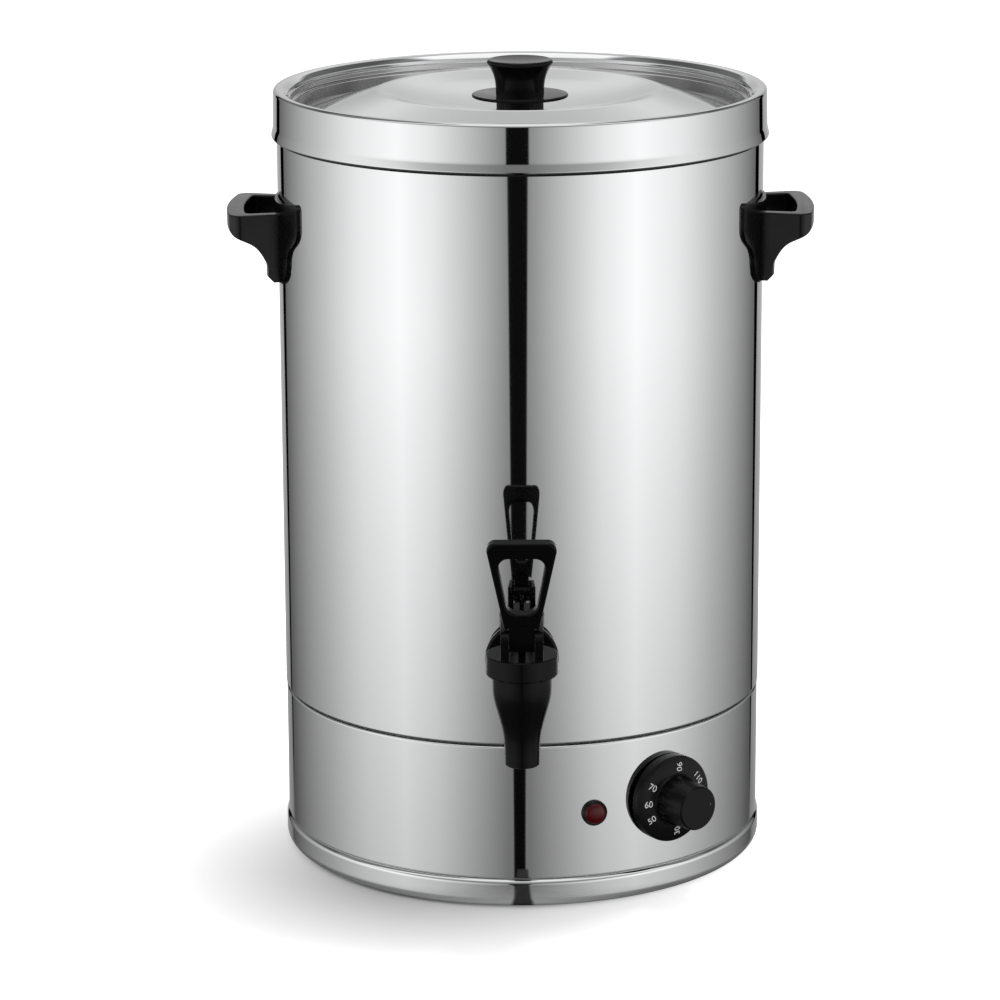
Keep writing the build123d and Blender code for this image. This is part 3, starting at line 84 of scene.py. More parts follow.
class Nodes:
    """Builder on one node tree, shared by finishes, recipes and the surroundings."""

    tree: bpy.types.NodeTree

    def add(self, kind: str, inputs: dict[str | int, object], **settings: object) -> bpy.types.Node:
        """Adds a node.

        Args:
            kind: Blender's node type.
            inputs: Socket or value for each input, by name or number.
            **settings: The node's own properties.

        Returns:
            The node.
        """
        made = self.tree.nodes.new(kind)
        for key, value in settings.items():
            setattr(made, key, value)
        for key, value in inputs.items():
            if isinstance(value, Socket):
                self.tree.links.new(value, made.inputs[key])
            else:
                made.inputs[key].default_value = value
        return made

    def node(self, kind: str, inputs: dict[str | int, object], **settings: object) -> Socket:
        """Adds a node as `add` does, and returns its first output."""
        return self.add(kind, inputs, **settings).outputs[0]

    def sum(self, kind: str, *values: object) -> Socket:
        """One sum on sockets or numbers."""
        return self.node("ShaderNodeMath", dict(enumerate(values)), operation=kind)

    def times(self, *values: object) -> Socket:
        """The product of two sockets or numbers."""
        return self.sum("MULTIPLY", *values)

    def less(self, value: object, taken: object) -> Socket:
        """A socket or number less another."""
        return self.sum("SUBTRACT", value, taken)

    def between(self, value: Socket, start: Point, end: Point, smooth: bool = False) -> Socket:
        """Maps a value from one range onto another, held at the ends.

        Args:
            value: The value.
            start: The value's low and high.
            end: What they become.
            smooth: Whether the change eases in and out.

        Returns:
            The mapped value.
        """
        names = ("From Min", "From Max", "To Min", "To Max")
        inputs = dict(zip(names, (*start, *end), strict=True)) | {"Value": value}
        kind = "SMOOTHSTEP" if smooth else "LINEAR"
        return self.node("ShaderNodeMapRange", inputs, interpolation_type=kind)

    def vector(self, **parts: object) -> Socket:
        """A vector from sockets or numbers for X, Y and Z."""
        return self.node("ShaderNodeCombineXYZ", dict(parts))


class Shader(Nodes):
    """Builder for one material, ending in a Principled BSDF."""

    MIDDLE_BAND: Point = (0.3, 0.7)
    NOISE_ROUGHNESS: float = 0.55

    def __init__(self, name: str) -> None:
        """Starts an empty tree.

        Args:
            name: The material's name.
        """
        self.material = bpy.data.materials.new(name)
        self.material.use_nodes = True
        self.tree = self.material.node_tree
        self.tree.nodes.clear()
        self.surface = self.add("ShaderNodeBsdfPrincipled", {})
        self.end = self.add("ShaderNodeOutputMaterial", {"Surface": self.surface.outputs[0]})

    def set(self, **values: object) -> None:
        """Sets plain values on the Principled BSDF's own sockets."""
        sockets = {s.name.lower().replace(" ", "_"): s for s in self.surface.inputs}
        for key, value in values.items():
            sockets[key].default_value = (*value, 1.0) if isinstance(value, tuple) else value

    def drive(self, socket: Socket, into: str) -> None:
        """Drives one of the surface's inputs."""
        self.tree.links.new(socket, self.surface.inputs[into])

    def place(self, stretch: Triple = (1, 1, 1)) -> Socket:
        """Object coordinates, stretched along each axis.

        Args:
            stretch: Multiplier for X, Y and Z.

        Returns:
            The vector socket.
        """
        source = self.add("ShaderNodeTexCoord", {}).outputs["Object"]
        return self.node("ShaderNodeMapping", {"Vector": source, "Scale": stretch})

    def noise(self, scale: float, detail: float = 3, stretch: Triple = (1, 1, 1)) -> Socket:
        """A noise pattern from 0 to 1.

        Args:
            scale: Cells per metre.
            detail: Octaves.
            stretch: Multiplier for X, Y and Z.

        Returns:
            The pattern's value socket.
        """
        inputs = {"Vector": self.place(stretch), "Scale": scale, "Detail": detail}
        inputs["Roughness"] = self.NOISE_ROUGHNESS
        return self.node("ShaderNodeTexNoise", inputs)

    def haze(self, pattern: Socket, low: float, spread: float) -> None:
        """Drives the roughness by a pattern.

        Args:
            pattern: Pattern socket, about 0.3 to 0.7.
            low: Roughness of the dark cells.
            spread: How much rougher the bright cells are.
        """
        self.drive(self.between(pattern, self.MIDDLE_BAND, (low, low + spread)), "Roughness")

    def tint(self, value: Socket, dark: Triple, light: Triple) -> None:
        """Drives the base colour between two tones."""
        inputs = {0: value, 6: (*dark, 1), 7: (*light, 1)}
        made = self.add("ShaderNodeMix", inputs, data_type="RGBA")
        self.drive(made.outputs[2], "Base Color")

    def relief(self, height: Socket, depth: float) -> None:
        """Bumps the surface.

        Args:
            height: Height pattern.
            depth: Its depth in metres.
        """
        inputs = {"Height": height, "Strength": 1.0, "Distance": depth}
        self.drive(self.node("ShaderNodeBump", inputs), "Normal")


@dataclass(frozen=True)
class Finish:
    """What every finish states: its own name and the record's material slot."""

    name: str
    slot: str

    def build(self) -> bpy.types.Material:
        """Makes the material. Each kind of finish has its own."""
        raise NotImplementedError

    def material(self) -> bpy.types.Material:
        """The finish's material, made once."""
        return bpy.data.materials.get(self.name) or self.build()


@dataclass(frozen=True)
class SheetMetal(Finish):
    """Drawn or rolled sheet with faint rolling lines and haze."""

    colour: Triple = (0.775, 0.78, 0.785)
    gloss: float = 0.05
    haze: float = 0.04
    line_depth: float = 0.4e-6
    shade: float = 0.96
    haze_cells: float = 9.0
    shade_cells: float = 5.0
    line_cells: float = 2400.0
    line_stretch: float = 0.004

    def build(self) -> bpy.types.Material:
        """Makes a metal whose lines run up the sheet."""
        shader = Shader(self.name)
        shader.set(metallic=1.0)
        shader.haze(shader.noise(self.haze_cells, 4), self.gloss, self.haze)
        shade = tuple(c * self.shade for c in self.colour)
        shader.tint(shader.noise(self.shade_cells, 2), shade, self.colour)
        lines = shader.noise(self.line_cells, 2, (1, 1, self.line_stretch))
        shader.relief(lines, self.line_depth)
        return shader.material


@dataclass(frozen=True)
class Moulding(Finish):
    """Moulded plastic or rubber with a fine grain and uneven gloss."""

    colour: Triple = (0.0035, 0.0035, 0.0037)
    gloss: float = 0.24
    unevenness: float = 0.06
    grain: float = 1800.0
    grain_depth: float = 5e-6
    lift: float = 1.35
    ior: float = 1.34
    haze_cells: float = 60.0
    lift_cells: float = 35.0

    def build(self) -> bpy.types.Material:
        """Makes a moulded surface."""
        shader = Shader(self.name)
        shader.set(ior=self.ior)
        uneven = shader.noise(self.haze_cells, 4)
        shader.haze(uneven, self.gloss, self.unevenness)
        light = tuple(min(1.0, c * self.lift) for c in self.colour)
        shader.tint(shader.noise(self.lift_cells, 5), self.colour, light)
        shader.relief(shader.noise(self.grain, 2), self.grain_depth)
        return shader.material


@dataclass(frozen=True)
class TurnedMetal(Finish):
    """Turned, cast or plated metal with short scratches."""

    colour: Triple = (0.6, 0.6, 0.6)
    gloss: float = 0.22
    unevenness: float = 0.12
    mark_depth: float = 2e-6
    shade: float = 0.86
    haze_cells: float = 140.0
    shade_cells: float = 90.0
    mark_cells: float = 700.0
    mark_squeeze: float = 9.0

    def build(self) -> bpy.types.Material:
        """Makes a metal with a worked surface."""
        shader = Shader(self.name)
        shader.set(metallic=1.0)
        uneven = shader.noise(self.haze_cells, 5)
        shader.haze(uneven, self.gloss, self.unevenness)
        shade = tuple(c * self.shade for c in self.colour)
        shader.tint(shader.noise(self.shade_cells, 4), shade, self.colour)
        marks = shader.noise(self.mark_cells, 3, (1, 1, self.mark_squeeze))
        shader.relief(marks, self.mark_depth)
        return shader.material


@dataclass(frozen=True)
class Lens(Finish):
    """Clear coloured plastic over a dark lamp, with a fine inner pattern."""

    colour: Triple = (0.085, 0.0, 0.002)
    gloss: float = 0.12
    haze: float = 0.05
    ior: float = 1.3
    coat: float = 0.25
    coat_gloss: float = 0.05
    shade: float = 0.8
    pattern_cells: float = 420.0
    grain_cells: float = 900.0
    grain_depth: float = 2e-6

    def build(self) -> bpy.types.Material:
        """Makes the lens."""
        shader = Shader(self.name)
        shader.set(ior=self.ior, coat_weight=self.coat, coat_roughness=self.coat_gloss)
        pattern = shader.noise(self.pattern_cells, 3)
        shader.haze(pattern, self.gloss, self.haze)
        shader.tint(pattern, tuple(c * self.shade for c in self.colour), self.colour)
        shader.relief(shader.noise(self.grain_cells, 1), self.grain_depth)
        return shader.material


JACKET_STEEL = SheetMetal("polished_jacket_steel", "polished_steel", gloss=0.03, haze=0.02)
LID_STEEL = SheetMetal("polished_lid_steel", "polished_steel", gloss=0.06, haze=0.03)
TANK_STEEL = SheetMetal("drawn_tank_steel", "tank_steel", (0.68, 0.68, 0.68), 0.2, 0.05, 0.5e-6)
# Black that paints the shade in the seam under the collar and in the skirt's groove; it is painted
# on the steel, not a part of its own.
PAINTED_SEAM_SHADE = Moulding("black_seam_strip", "polished_steel", (0.004, 0.004, 0.004), 0.5, 0.1)
GLOSSY_MOULDING = Moulding(
    "black_glossy_plastic", "black_plastic", (0.003, 0.003, 0.0031), 0.12, 0.05, ior=1.24
)
DIAL_MOULDING = Moulding(
    "black_dial_plastic", "black_plastic", (0.0035, 0.0035, 0.0035), 0.24, 0.05, ior=1.27
)
BEZEL_MOULDING = Moulding("black_bezel_plastic", "black_plastic", (0.002, 0.002, 0.002), 0.3)
HANDLE_MOULDING = Moulding(
    "black_grained_plastic", "black_plastic", (0.0022, 0.0022, 0.0023), 0.2, 0.06, ior=1.4
)
SILICONE = Moulding(
    "pale_silicone", "silicone", (0.55, 0.55, 0.52), 0.5, 0.1, 900.0, 10e-6, 1.08, 1.42
)
NYLON = Moulding("natural_nylon", "nylon", (0.66, 0.64, 0.58), 0.4, 0.1, 900.0, 8e-6, 1.06, 1.5)
FOOT_RUBBER = Moulding(
    "foot_rubber", "foot_rubber", (0.022, 0.022, 0.022), 0.62, 0.12, 700.0, 25e-6
)
PHENOLIC = Moulding(
    "brown_phenolic", "phenolic", (0.035, 0.026, 0.02), 0.4, 0.1, 600.0, 10e-6, 1.35, 1.5
)
CERAMIC = Moulding(
    "terminal_plastic", "terminal_white", (0.72, 0.70, 0.64), 0.35, 0.1, 500.0, 6e-6, 1.05, 1.5
)
DIAL_INK, DOT_INK = (
    Moulding(name, "terminal_white", (tone, tone, tone), 0.5, 0.08, 2500.0, 2e-6, 1.05)
    for name, tone in (("white_dial_ink", 0.92), ("grey_pointer_ink", 0.16))
)
# The steel stem is coloured near black: painted shade for the dark gap between the bonnet's cheeks.
STEM_SHADE_PAINT = TurnedMetal("blackened_stem_steel", "tank_steel", (0.03, 0.03, 0.03), 0.35)
SCREW_STEEL = TurnedMetal("screw_steel", "screw_steel", (0.62, 0.62, 0.62), 0.2)
ZINC_PLATE = TurnedMetal("zinc_plated_steel", "plated_steel", (0.62, 0.63, 0.61), 0.3)
BRASS = TurnedMetal("turned_brass", "brass", (0.75, 0.58, 0.27), 0.22)
COPPER = TurnedMetal("drawn_copper", "copper", (0.78, 0.45, 0.30), 0.26)
PILOT_LENS = Lens("dark_red_lens", "lens_red")


# ------------------------------------------------------------------------ mesh making


def rounded(
    path: Sequence[Point], folds: Sequence[float], step: float = 7.0, straight: float = 89.5
) -> list[Point]:
    """Rounds the inner corners of an open path.

    Args:
        path: Corner points.
        folds: Fold radius at each inner corner.
        step: Degrees between points of an arc.
        straight: Half angle in degrees beyond which a corner counts as none.

    Returns:
        The path's points with arcs at its corners.
    """
    made = [Vector(path[0])]
    for before, corner, after, radius in zip(path, path[1:], path[2:], folds, strict=False):
        here = Vector(corner)
        back = (Vector(before) - here).normalized()
        on = (Vector(after) - here).normalized()
        half = back.angle(on) / 2
        if radius <= 0 or half > math.radians(straight):
            made.append(here)
            continue
        middle = here + (back + on).normalized() * (radius / math.sin(half))
        start = here + back * (radius / math.tan(half))
        end = here + on * (radius / math.tan(half))
        sweep = (start - middle).angle_signed(end - middle)
        count = max(2, math.ceil(abs(math.degrees(sweep)) / step))
        for number in range(count + 1):
            turn = Matrix.Rotation(-sweep * number / count, 2)
            made.append(middle + turn @ (start - middle))
    made.append(Vector(path[-1]))
    return [(point.x, point.y) for point in made]


def walled(path: Sequence[Point], thickness: float) -> list[Point]:
    """Closes a path into the outline of a sheet that lies on its left.

    Args:
        path: The sheet's outer face.
        thickness: The sheet's thickness.

    Returns:
        The closed outline.
    """
    points = [Vector(point) for point in path]
    inner = []
    for number, point in enumerate(points):
        before = (point - points[number - 1]).normalized() if number else None
        after = (points[number + 1] - point).normalized() if number < len(points) - 1 else None
        sides = [Vector((-way.y, way.x)) for way in (before, after) if way is not None]
        normal = sum(sides, Vector((0, 0))).normalized()
        inner.append(point + normal * (thickness / max(0.5, normal.dot(sides[0]))))
    return [(p.x, p.y) for p in points] + [(p.x, p.y) for p in reversed(inner)]


def guarded(
    outline: Sequence[Point], closed: bool, near: float = 0.6 * MM, long: float = 5.0 * MM
) -> list[Point]:
    """Adds a point near each end of every long straight run, which keeps its shading flat.

    Args:
        outline: The outline's points.
        closed: Whether the last point joins the first.
        near: How far from the end each point is added.
        long: The shortest run that gets them.

    Returns:
        The outline with its guard points.
    """
    made = []
    for number, point in enumerate(outline):
        made.append(tuple(point))
        if number == len(outline) - 1 and not closed:
            break
        here, ahead = Vector(point), Vector(outline[(number + 1) % len(outline)])
        run = ahead - here
        if run.length > long:
            step = run.normalized() * near
            made.append(tuple(here + step))
            made.append(tuple(ahead - step))
    return made


def healed(piece: Thing, angle: float = 30.0, gap: float = WELD) -> Thing:
    """Welds a piece's mesh, turns its faces outwards and shades it smooth up to an angle.

    Args:
        piece: The piece.
        angle: Edges sharper than this stay sharp.
        gap: Points nearer than this are joined.

    Returns:
        The same piece.
    """
    work = bmesh.new()
    work.from_mesh(piece.data)
    bmesh.ops.remove_doubles(work, verts=work.verts, dist=gap)
    loose = [edge for edge in work.edges if not edge.link_faces]
    bmesh.ops.delete(work, geom=loose, context="EDGES")
    bmesh.ops.recalc_face_normals(work, faces=work.faces)
    work.to_mesh(piece.data)
    work.free()
    piece.data.shade_smooth()
    piece.data.set_sharp_from_angle(angle=math.radians(angle))
    return piece


def placed(name: str, data: bpy.types.ID) -> Thing:
    """Makes an object from its data and links it to the scene."""
    made = bpy.data.objects.new(name, data)
    bpy.context.scene.collection.objects.link(made)
    return made


def line_mesh(
    name: str, points: Sequence[Vector], closed: bool, bends: Sequence[float] = ()
) -> bpy.types.Mesh:
    """Makes a mesh of edges only, for a recipe to work on.

    Args:
        name: The mesh's name.
        points: The points in order.
        closed: Whether the last point joins the first.
        bends: Bend radius kept at each point, if the recipe rounds the corners.

    Returns:
        The mesh.
    """
    mesh = bpy.data.meshes.new(name)
    count = len(points)
    edges = [(n, (n + 1) % count) for n in range(count if closed else count - 1)]
    mesh.from_pydata([tuple(point) for point in points], edges, [])
    if bends:
        kept = mesh.attributes.new("bend", "FLOAT", "POINT")
        kept.data.foreach_set("value", list(bends))
    return mesh


class Recipe(Nodes):
    """Builder for one Geometry Nodes tree whose sizes are named inputs."""

    KINDS = {float: "NodeSocketFloat", int: "NodeSocketInt", str: "NodeSocketString"}

    def __init__(self, name: str, **sizes: float | int | str) -> None:
        """Starts a tree.

        Args:
            name: The tree's name.
            **sizes: Named inputs with their usual values.
        """
        self.tree = bpy.data.node_groups.new(name, "GeometryNodeTree")
        face = self.tree.interface
        face.new_socket("Geometry", in_out="INPUT", socket_type="NodeSocketGeometry")
        face.new_socket("Geometry", in_out="OUTPUT", socket_type="NodeSocketGeometry")
        self.keys: dict[str, str] = {}
        for label, value in sizes.items():
            made = face.new_socket(label, in_out="INPUT", socket_type=self.KINDS[type(value)])
            made.default_value = value
            self.keys[label] = made.identifier
        finish = face.new_socket("finish", in_out="INPUT", socket_type="NodeSocketMaterial")
        self.keys["finish"] = finish.identifier
        self.entry = self.tree.nodes.new("NodeGroupInput")
        self.exit = self.tree.nodes.new("NodeGroupOutput")

    @property
    def shape(self) -> Socket:
        """The geometry that comes in."""
        return self.entry.outputs["Geometry"]

    def size(self, label: str) -> Socket:
        """The socket of a named size."""
        return self.entry.outputs[label]

    def close(self, shape: Socket) -> "Recipe":
        """Ends the tree: instances are made real and the finish is set.

        Args:
            shape: The finished geometry.

        Returns:
            The recipe itself.
        """
        real = self.node("GeometryNodeRealizeInstances", {"Geometry": shape})
        dressed = self.node(
            "GeometryNodeSetMaterial", {"Geometry": real, "Material": self.size("finish")}
        )
        self.tree.links.new(dressed, self.exit.inputs["Geometry"])
        return self

    def make(
        self, name: str, seed: bpy.types.Mesh, finish: Finish, **sizes: float | int | str
    ) -> Thing:
        """Runs the tree on a mesh and keeps the result as a plain mesh.

        Args:
            name: The new piece's name.
            seed: The mesh that the tree starts from.
            finish: The finish that the tree sets.
            **sizes: Values of the named inputs.

        Returns:
            The new object, with no modifier left on it.
        """
        piece = placed(name, seed)
        modifier = piece.modifiers.new(self.tree.name, "NODES")
        modifier.node_group = self.tree
        for label, value in sizes.items():
            modifier[self.keys[label]] = value
        modifier[self.keys["finish"]] = finish.material()
        return settle(piece)


def spun_sheet_recipe() -> Recipe:
    """Tree that carries an outline round a circle, as sheet is spun on a lathe."""
    recipe = Recipe("spun_sheet", guide_radius=0.1, steps=288)
    outline = recipe.node("GeometryNodeMeshToCurve", {"Mesh": recipe.shape})
    circle = recipe.node(
        "GeometryNodeCurvePrimitiveCircle",
        {"Resolution": recipe.size("steps"), "Radius": recipe.size("guide_radius")},
        mode="RADIUS",
    )
    upright = recipe.node("GeometryNodeSetCurveNormal", {"Curve": circle}, mode="Z_UP")
    swept = recipe.node("GeometryNodeCurveToMesh", {"Curve": upright, "Profile Curve": outline})
    return recipe.close(
        recipe.node("GeometryNodeMergeByDistance", {"Geometry": swept, "Distance": WELD})
    )


def bent_tube_recipe() -> Recipe:
    """Tree that rounds a path's corners by their own bend radius and runs a tube along it."""
    recipe = Recipe("bent_tube", tube_radius=0.004, bend_points=10, steps=24)
    path = recipe.node("GeometryNodeMeshToCurve", {"Mesh": recipe.shape})
    bend = recipe.node("GeometryNodeInputNamedAttribute", {"Name": "bend"}, data_type="FLOAT")
    bent = recipe.node(
        "GeometryNodeFilletCurve",
        {
            "Curve": path,
            "Count": recipe.size("bend_points"),
            "Radius": bend,
            "Limit Radius": True,
        },
        mode="POLY",
    )
    section = recipe.node(
        "GeometryNodeCurvePrimitiveCircle",
        {"Resolution": recipe.size("steps"), "Radius": recipe.size("tube_radius")},
        mode="RADIUS",
    )
    return recipe.close(
        recipe.node(
            "GeometryNodeCurveToMesh",
            {"Curve": bent, "Profile Curve": section, "Fill Caps": True},
        )
    )


def ring_recipe(name: str, crossed: bool) -> Recipe:
    """Tree that stands copies of one part on a ring round the body's axis.

    Args:
        name: The tree's name.
        crossed: Whether each part is a screw that gets a cross recess under its head.

    Returns:
        The recipe.
    """
    recipe = Recipe(
        name,
        count=4,
        ring_radius=0.1,
        first_angle=0.0,
        slot_length=0.004,
        slot_width=0.0008,
        slot_depth=0.001,
        head_height=0.0,
        seed=7,
    )
    part = recipe.shape
    if crossed:
        depth = recipe.times(recipe.size("slot_depth"), 2.0)
        where = recipe.vector(Z=recipe.size("head_height"))
        for long, wide in (("slot_length", "slot_width"), ("slot_width", "slot_length")):
            extent = recipe.vector(X=recipe.size(long), Y=recipe.size(wide), Z=depth)
            bar = recipe.node("GeometryNodeMeshCube", {"Size": extent})
            bar = recipe.node("GeometryNodeTransform", {"Geometry": bar, "Translation": where})
            part = recipe.node(
                "GeometryNodeMeshBoolean", {"Mesh 1": part, "Mesh 2": bar}, operation="DIFFERENCE"
            )
    ring = recipe.node(
        "GeometryNodeMeshCircle",
        {"Vertices": recipe.size("count"), "Radius": recipe.size("ring_radius")},
    )
    chance = recipe.tree.nodes.new("FunctionNodeRandomValue")
    chance.data_type = "FLOAT"
    low, high = (s for s in chance.inputs if s.name in ("Min", "Max") and s.type == "VALUE")
    low.default_value, high.default_value = 0.0, math.tau if crossed else 0.0
    recipe.tree.links.new(recipe.size("seed"), chance.inputs["Seed"])
    turned = next(s for s in chance.outputs if s.type == "VALUE")
    turn = recipe.vector(Z=turned)
    stood = recipe.node(
        "GeometryNodeInstanceOnPoints", {"Points": ring, "Instance": part, "Rotation": turn}
    )
    start = recipe.vector(Z=recipe.size("first_angle"))
    return recipe.close(
        recipe.node("GeometryNodeTransform", {"Geometry": stood, "Rotation": start})
    )


def dial_mark_recipe() -> Recipe:
    """Tree that prints a number and lays it on a cone, at an angle round the cone's axis."""
    recipe = Recipe(
        "dial_mark",
        text="0",
        text_size=0.006,
        ink=0.0001,
        lettering_turn=0.0,
        round_angle=0.0,
        out_radius=0.023,
        height=0.0,
        slope=0.1,
    )
    text = recipe.node(
        "GeometryNodeStringToCurves",
        {"String": recipe.size("text"), "Size": recipe.size("text_size")},
        align_x="CENTER",
        align_y="MIDDLE",
    )
    flat = recipe.node("GeometryNodeRealizeInstances", {"Geometry": text})
    flat = recipe.node("GeometryNodeFillCurve", {"Curve": flat})
    raised = recipe.node(
        "GeometryNodeExtrudeMesh",
        {"Mesh": flat, "Offset Scale": recipe.size("ink"), "Individual": False},
        mode="FACES",
    )
    under = recipe.node("GeometryNodeFlipFaces", {"Mesh": flat})
    joined = recipe.tree.nodes.new("GeometryNodeJoinGeometry")
    recipe.tree.links.new(raised, joined.inputs[0])
    recipe.tree.links.new(under, joined.inputs[0])
    solid = recipe.node(
        "GeometryNodeMergeByDistance", {"Geometry": joined.outputs[0], "Distance": WELD}
    )
    upright = recipe.vector(Z=recipe.size("lettering_turn"))
    solid = recipe.node("GeometryNodeTransform", {"Geometry": solid, "Rotation": upright})
    lean = recipe.vector(Y=recipe.size("slope"))
    place = recipe.vector(X=recipe.size("out_radius"), Z=recipe.size("height"))
    solid = recipe.node(
        "GeometryNodeTransform", {"Geometry": solid, "Translation": place, "Rotation": lean}
    )
    about = recipe.vector(Z=recipe.size("round_angle"))
    return recipe.close(
        recipe.node("GeometryNodeTransform", {"Geometry": solid, "Rotation": about})
    )


class Workshop:
    """The recipes, each built once and shared by the sub-assemblies."""

    GUIDE: float = 100.0 * MM
    ON_AXIS: float = 1e-9

    def __init__(self) -> None:
        """Builds every recipe."""
        self.spun_sheet = spun_sheet_recipe()
        self.bent_tube = bent_tube_recipe()
        self.ring = ring_recipe("ring_of_feet", False)
        self.screws = ring_recipe("ring_of_crossed_screws", True)
        self.dial_mark = dial_mark_recipe()

    def spin(
        self,
        name: str,
        outline: Sequence[Point],
        finish: Finish,
        steps: int = 288,
    ) -> Thing:
        """Spins an outline about world Z.

        Args:
            name: The piece's name.
            outline: Outline as (radius, height). One that starts and ends on the axis stays open.
            finish: The piece's finish.
            steps: Faces round the axis.

        Returns:
            The new piece.
        """
        closed = max(outline[0][0], outline[-1][0]) > self.ON_AXIS
        points = [
            Vector((max(radius, 0.0) - self.GUIDE, -height, 0))
            for radius, height in guarded(outline, closed)
        ]
        seed = line_mesh(f"{name}_outline", points, closed)
        sizes = {"guide_radius": self.GUIDE, "steps": steps}
        piece = self.spun_sheet.make(name, seed, finish, **sizes)
        return healed(piece, gap=SPUN_WELD)


def resurfaced(node: str, name: str, angle: float = 30.0, ease: float = 0.0) -> Thing:
    """A smooth-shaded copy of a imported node, with its edges eased if asked.

    Args:
        node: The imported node.
        name: The new piece's name.
        angle: Edges sharper than this stay sharp.
        ease: Width of a small bevel on sharp edges.

    Returns:
        The new object, which isn't yet riding on anything.
    """
    mesh = bpy.data.objects[node].data.copy()
    mesh.name = name
    mesh.materials.clear()
    if mesh.has_custom_normals:
        mesh.attributes.remove(mesh.attributes["custom_normal"])
    work = bmesh.new()
    work.from_mesh(mesh)
    bmesh.ops.remove_doubles(work, verts=work.verts, dist=PACKED_WELD)
    bmesh.ops.dissolve_limit(work, angle_limit=FLAT, verts=work.verts, edges=work.edges)
    work.to_mesh(mesh)
    work.free()
    piece = placed(name, mesh)
    piece.data.shade_smooth()
    piece.data.set_sharp_from_angle(angle=math.radians(angle))
    if ease:
        bevel = piece.modifiers.new("ease", "BEVEL")
        bevel.width = ease
        bevel.segments = 2
        bevel.limit_method = "ANGLE"
        bevel.angle_limit = math.radians(angle)
        bevel.harden_normals = True
        settle(piece)
    return piece


def settle(piece: Thing) -> Thing:
    """Applies a piece's modifiers to its mesh."""
    evaluated = piece.evaluated_get(bpy.context.evaluated_depsgraph_get())
    mesh = bpy.data.meshes.new_from_object(evaluated)
    piece.modifiers.clear()
    piece.data = mesh
    return piece


def finish_piece(piece: Thing, finish: Finish, body: Body, replaces: Sequence[str] = ()) -> Thing:
    """Gives a piece its finish and its body, and reports it.

    Args:
        piece: The piece.
        finish: Its finish.
        body: The body that it rides on.
        replaces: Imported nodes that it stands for.

    Returns:
        The same piece.
    """
    piece.data.materials.clear()
    piece.data.materials.append(finish.material())
    piece.data.polygons.foreach_set("material_index", [0] * len(piece.data.polygons))
    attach(piece, body.value)
    if replaces:
        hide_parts(*replaces)
    LOG.info("%s: %s, %d faces", piece.name, finish.name, len(piece.data.polygons))
    return piece


def remould(
    node: str, name: str, finish: Finish, body: Body, angle: float = 30.0, ease: float = 0.0
) -> Thing:
    """Stands a smooth-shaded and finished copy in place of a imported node."""
    return finish_piece(resurfaced(node, name, angle, ease), finish, body, [node])


def dress(finish: Finish, *nodes: str) -> None:
    """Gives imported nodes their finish."""
    for node in nodes:
        packed = bpy.data.objects[node]
        packed.data.materials.clear()
        packed.data.materials.append(finish.material())
        LOG.info("%s: packed node, %s", node, finish.name)


def radial_place(azimuth: float, height: float) -> Matrix:
    """Matrix that stands a piece's own Z along a radius of the casing.

    Args:
        azimuth: Degrees from the front towards +X.
        height: Height of the radius.

    Returns:
        The matrix. The piece's X is level and its Y is up.
    """
    turn = math.radians(azimuth)
    outward = Vector((math.sin(turn), -math.cos(turn), 0))
    level = Vector((math.cos(turn), math.sin(turn), 0))
    made = Matrix((level, Vector((0, 0, 1)), outward)).transposed().to_4x4()
    made.translation = Vector((0, 0, height))
    return made


# ----------------------------------------------------------------------- sub-assemblies


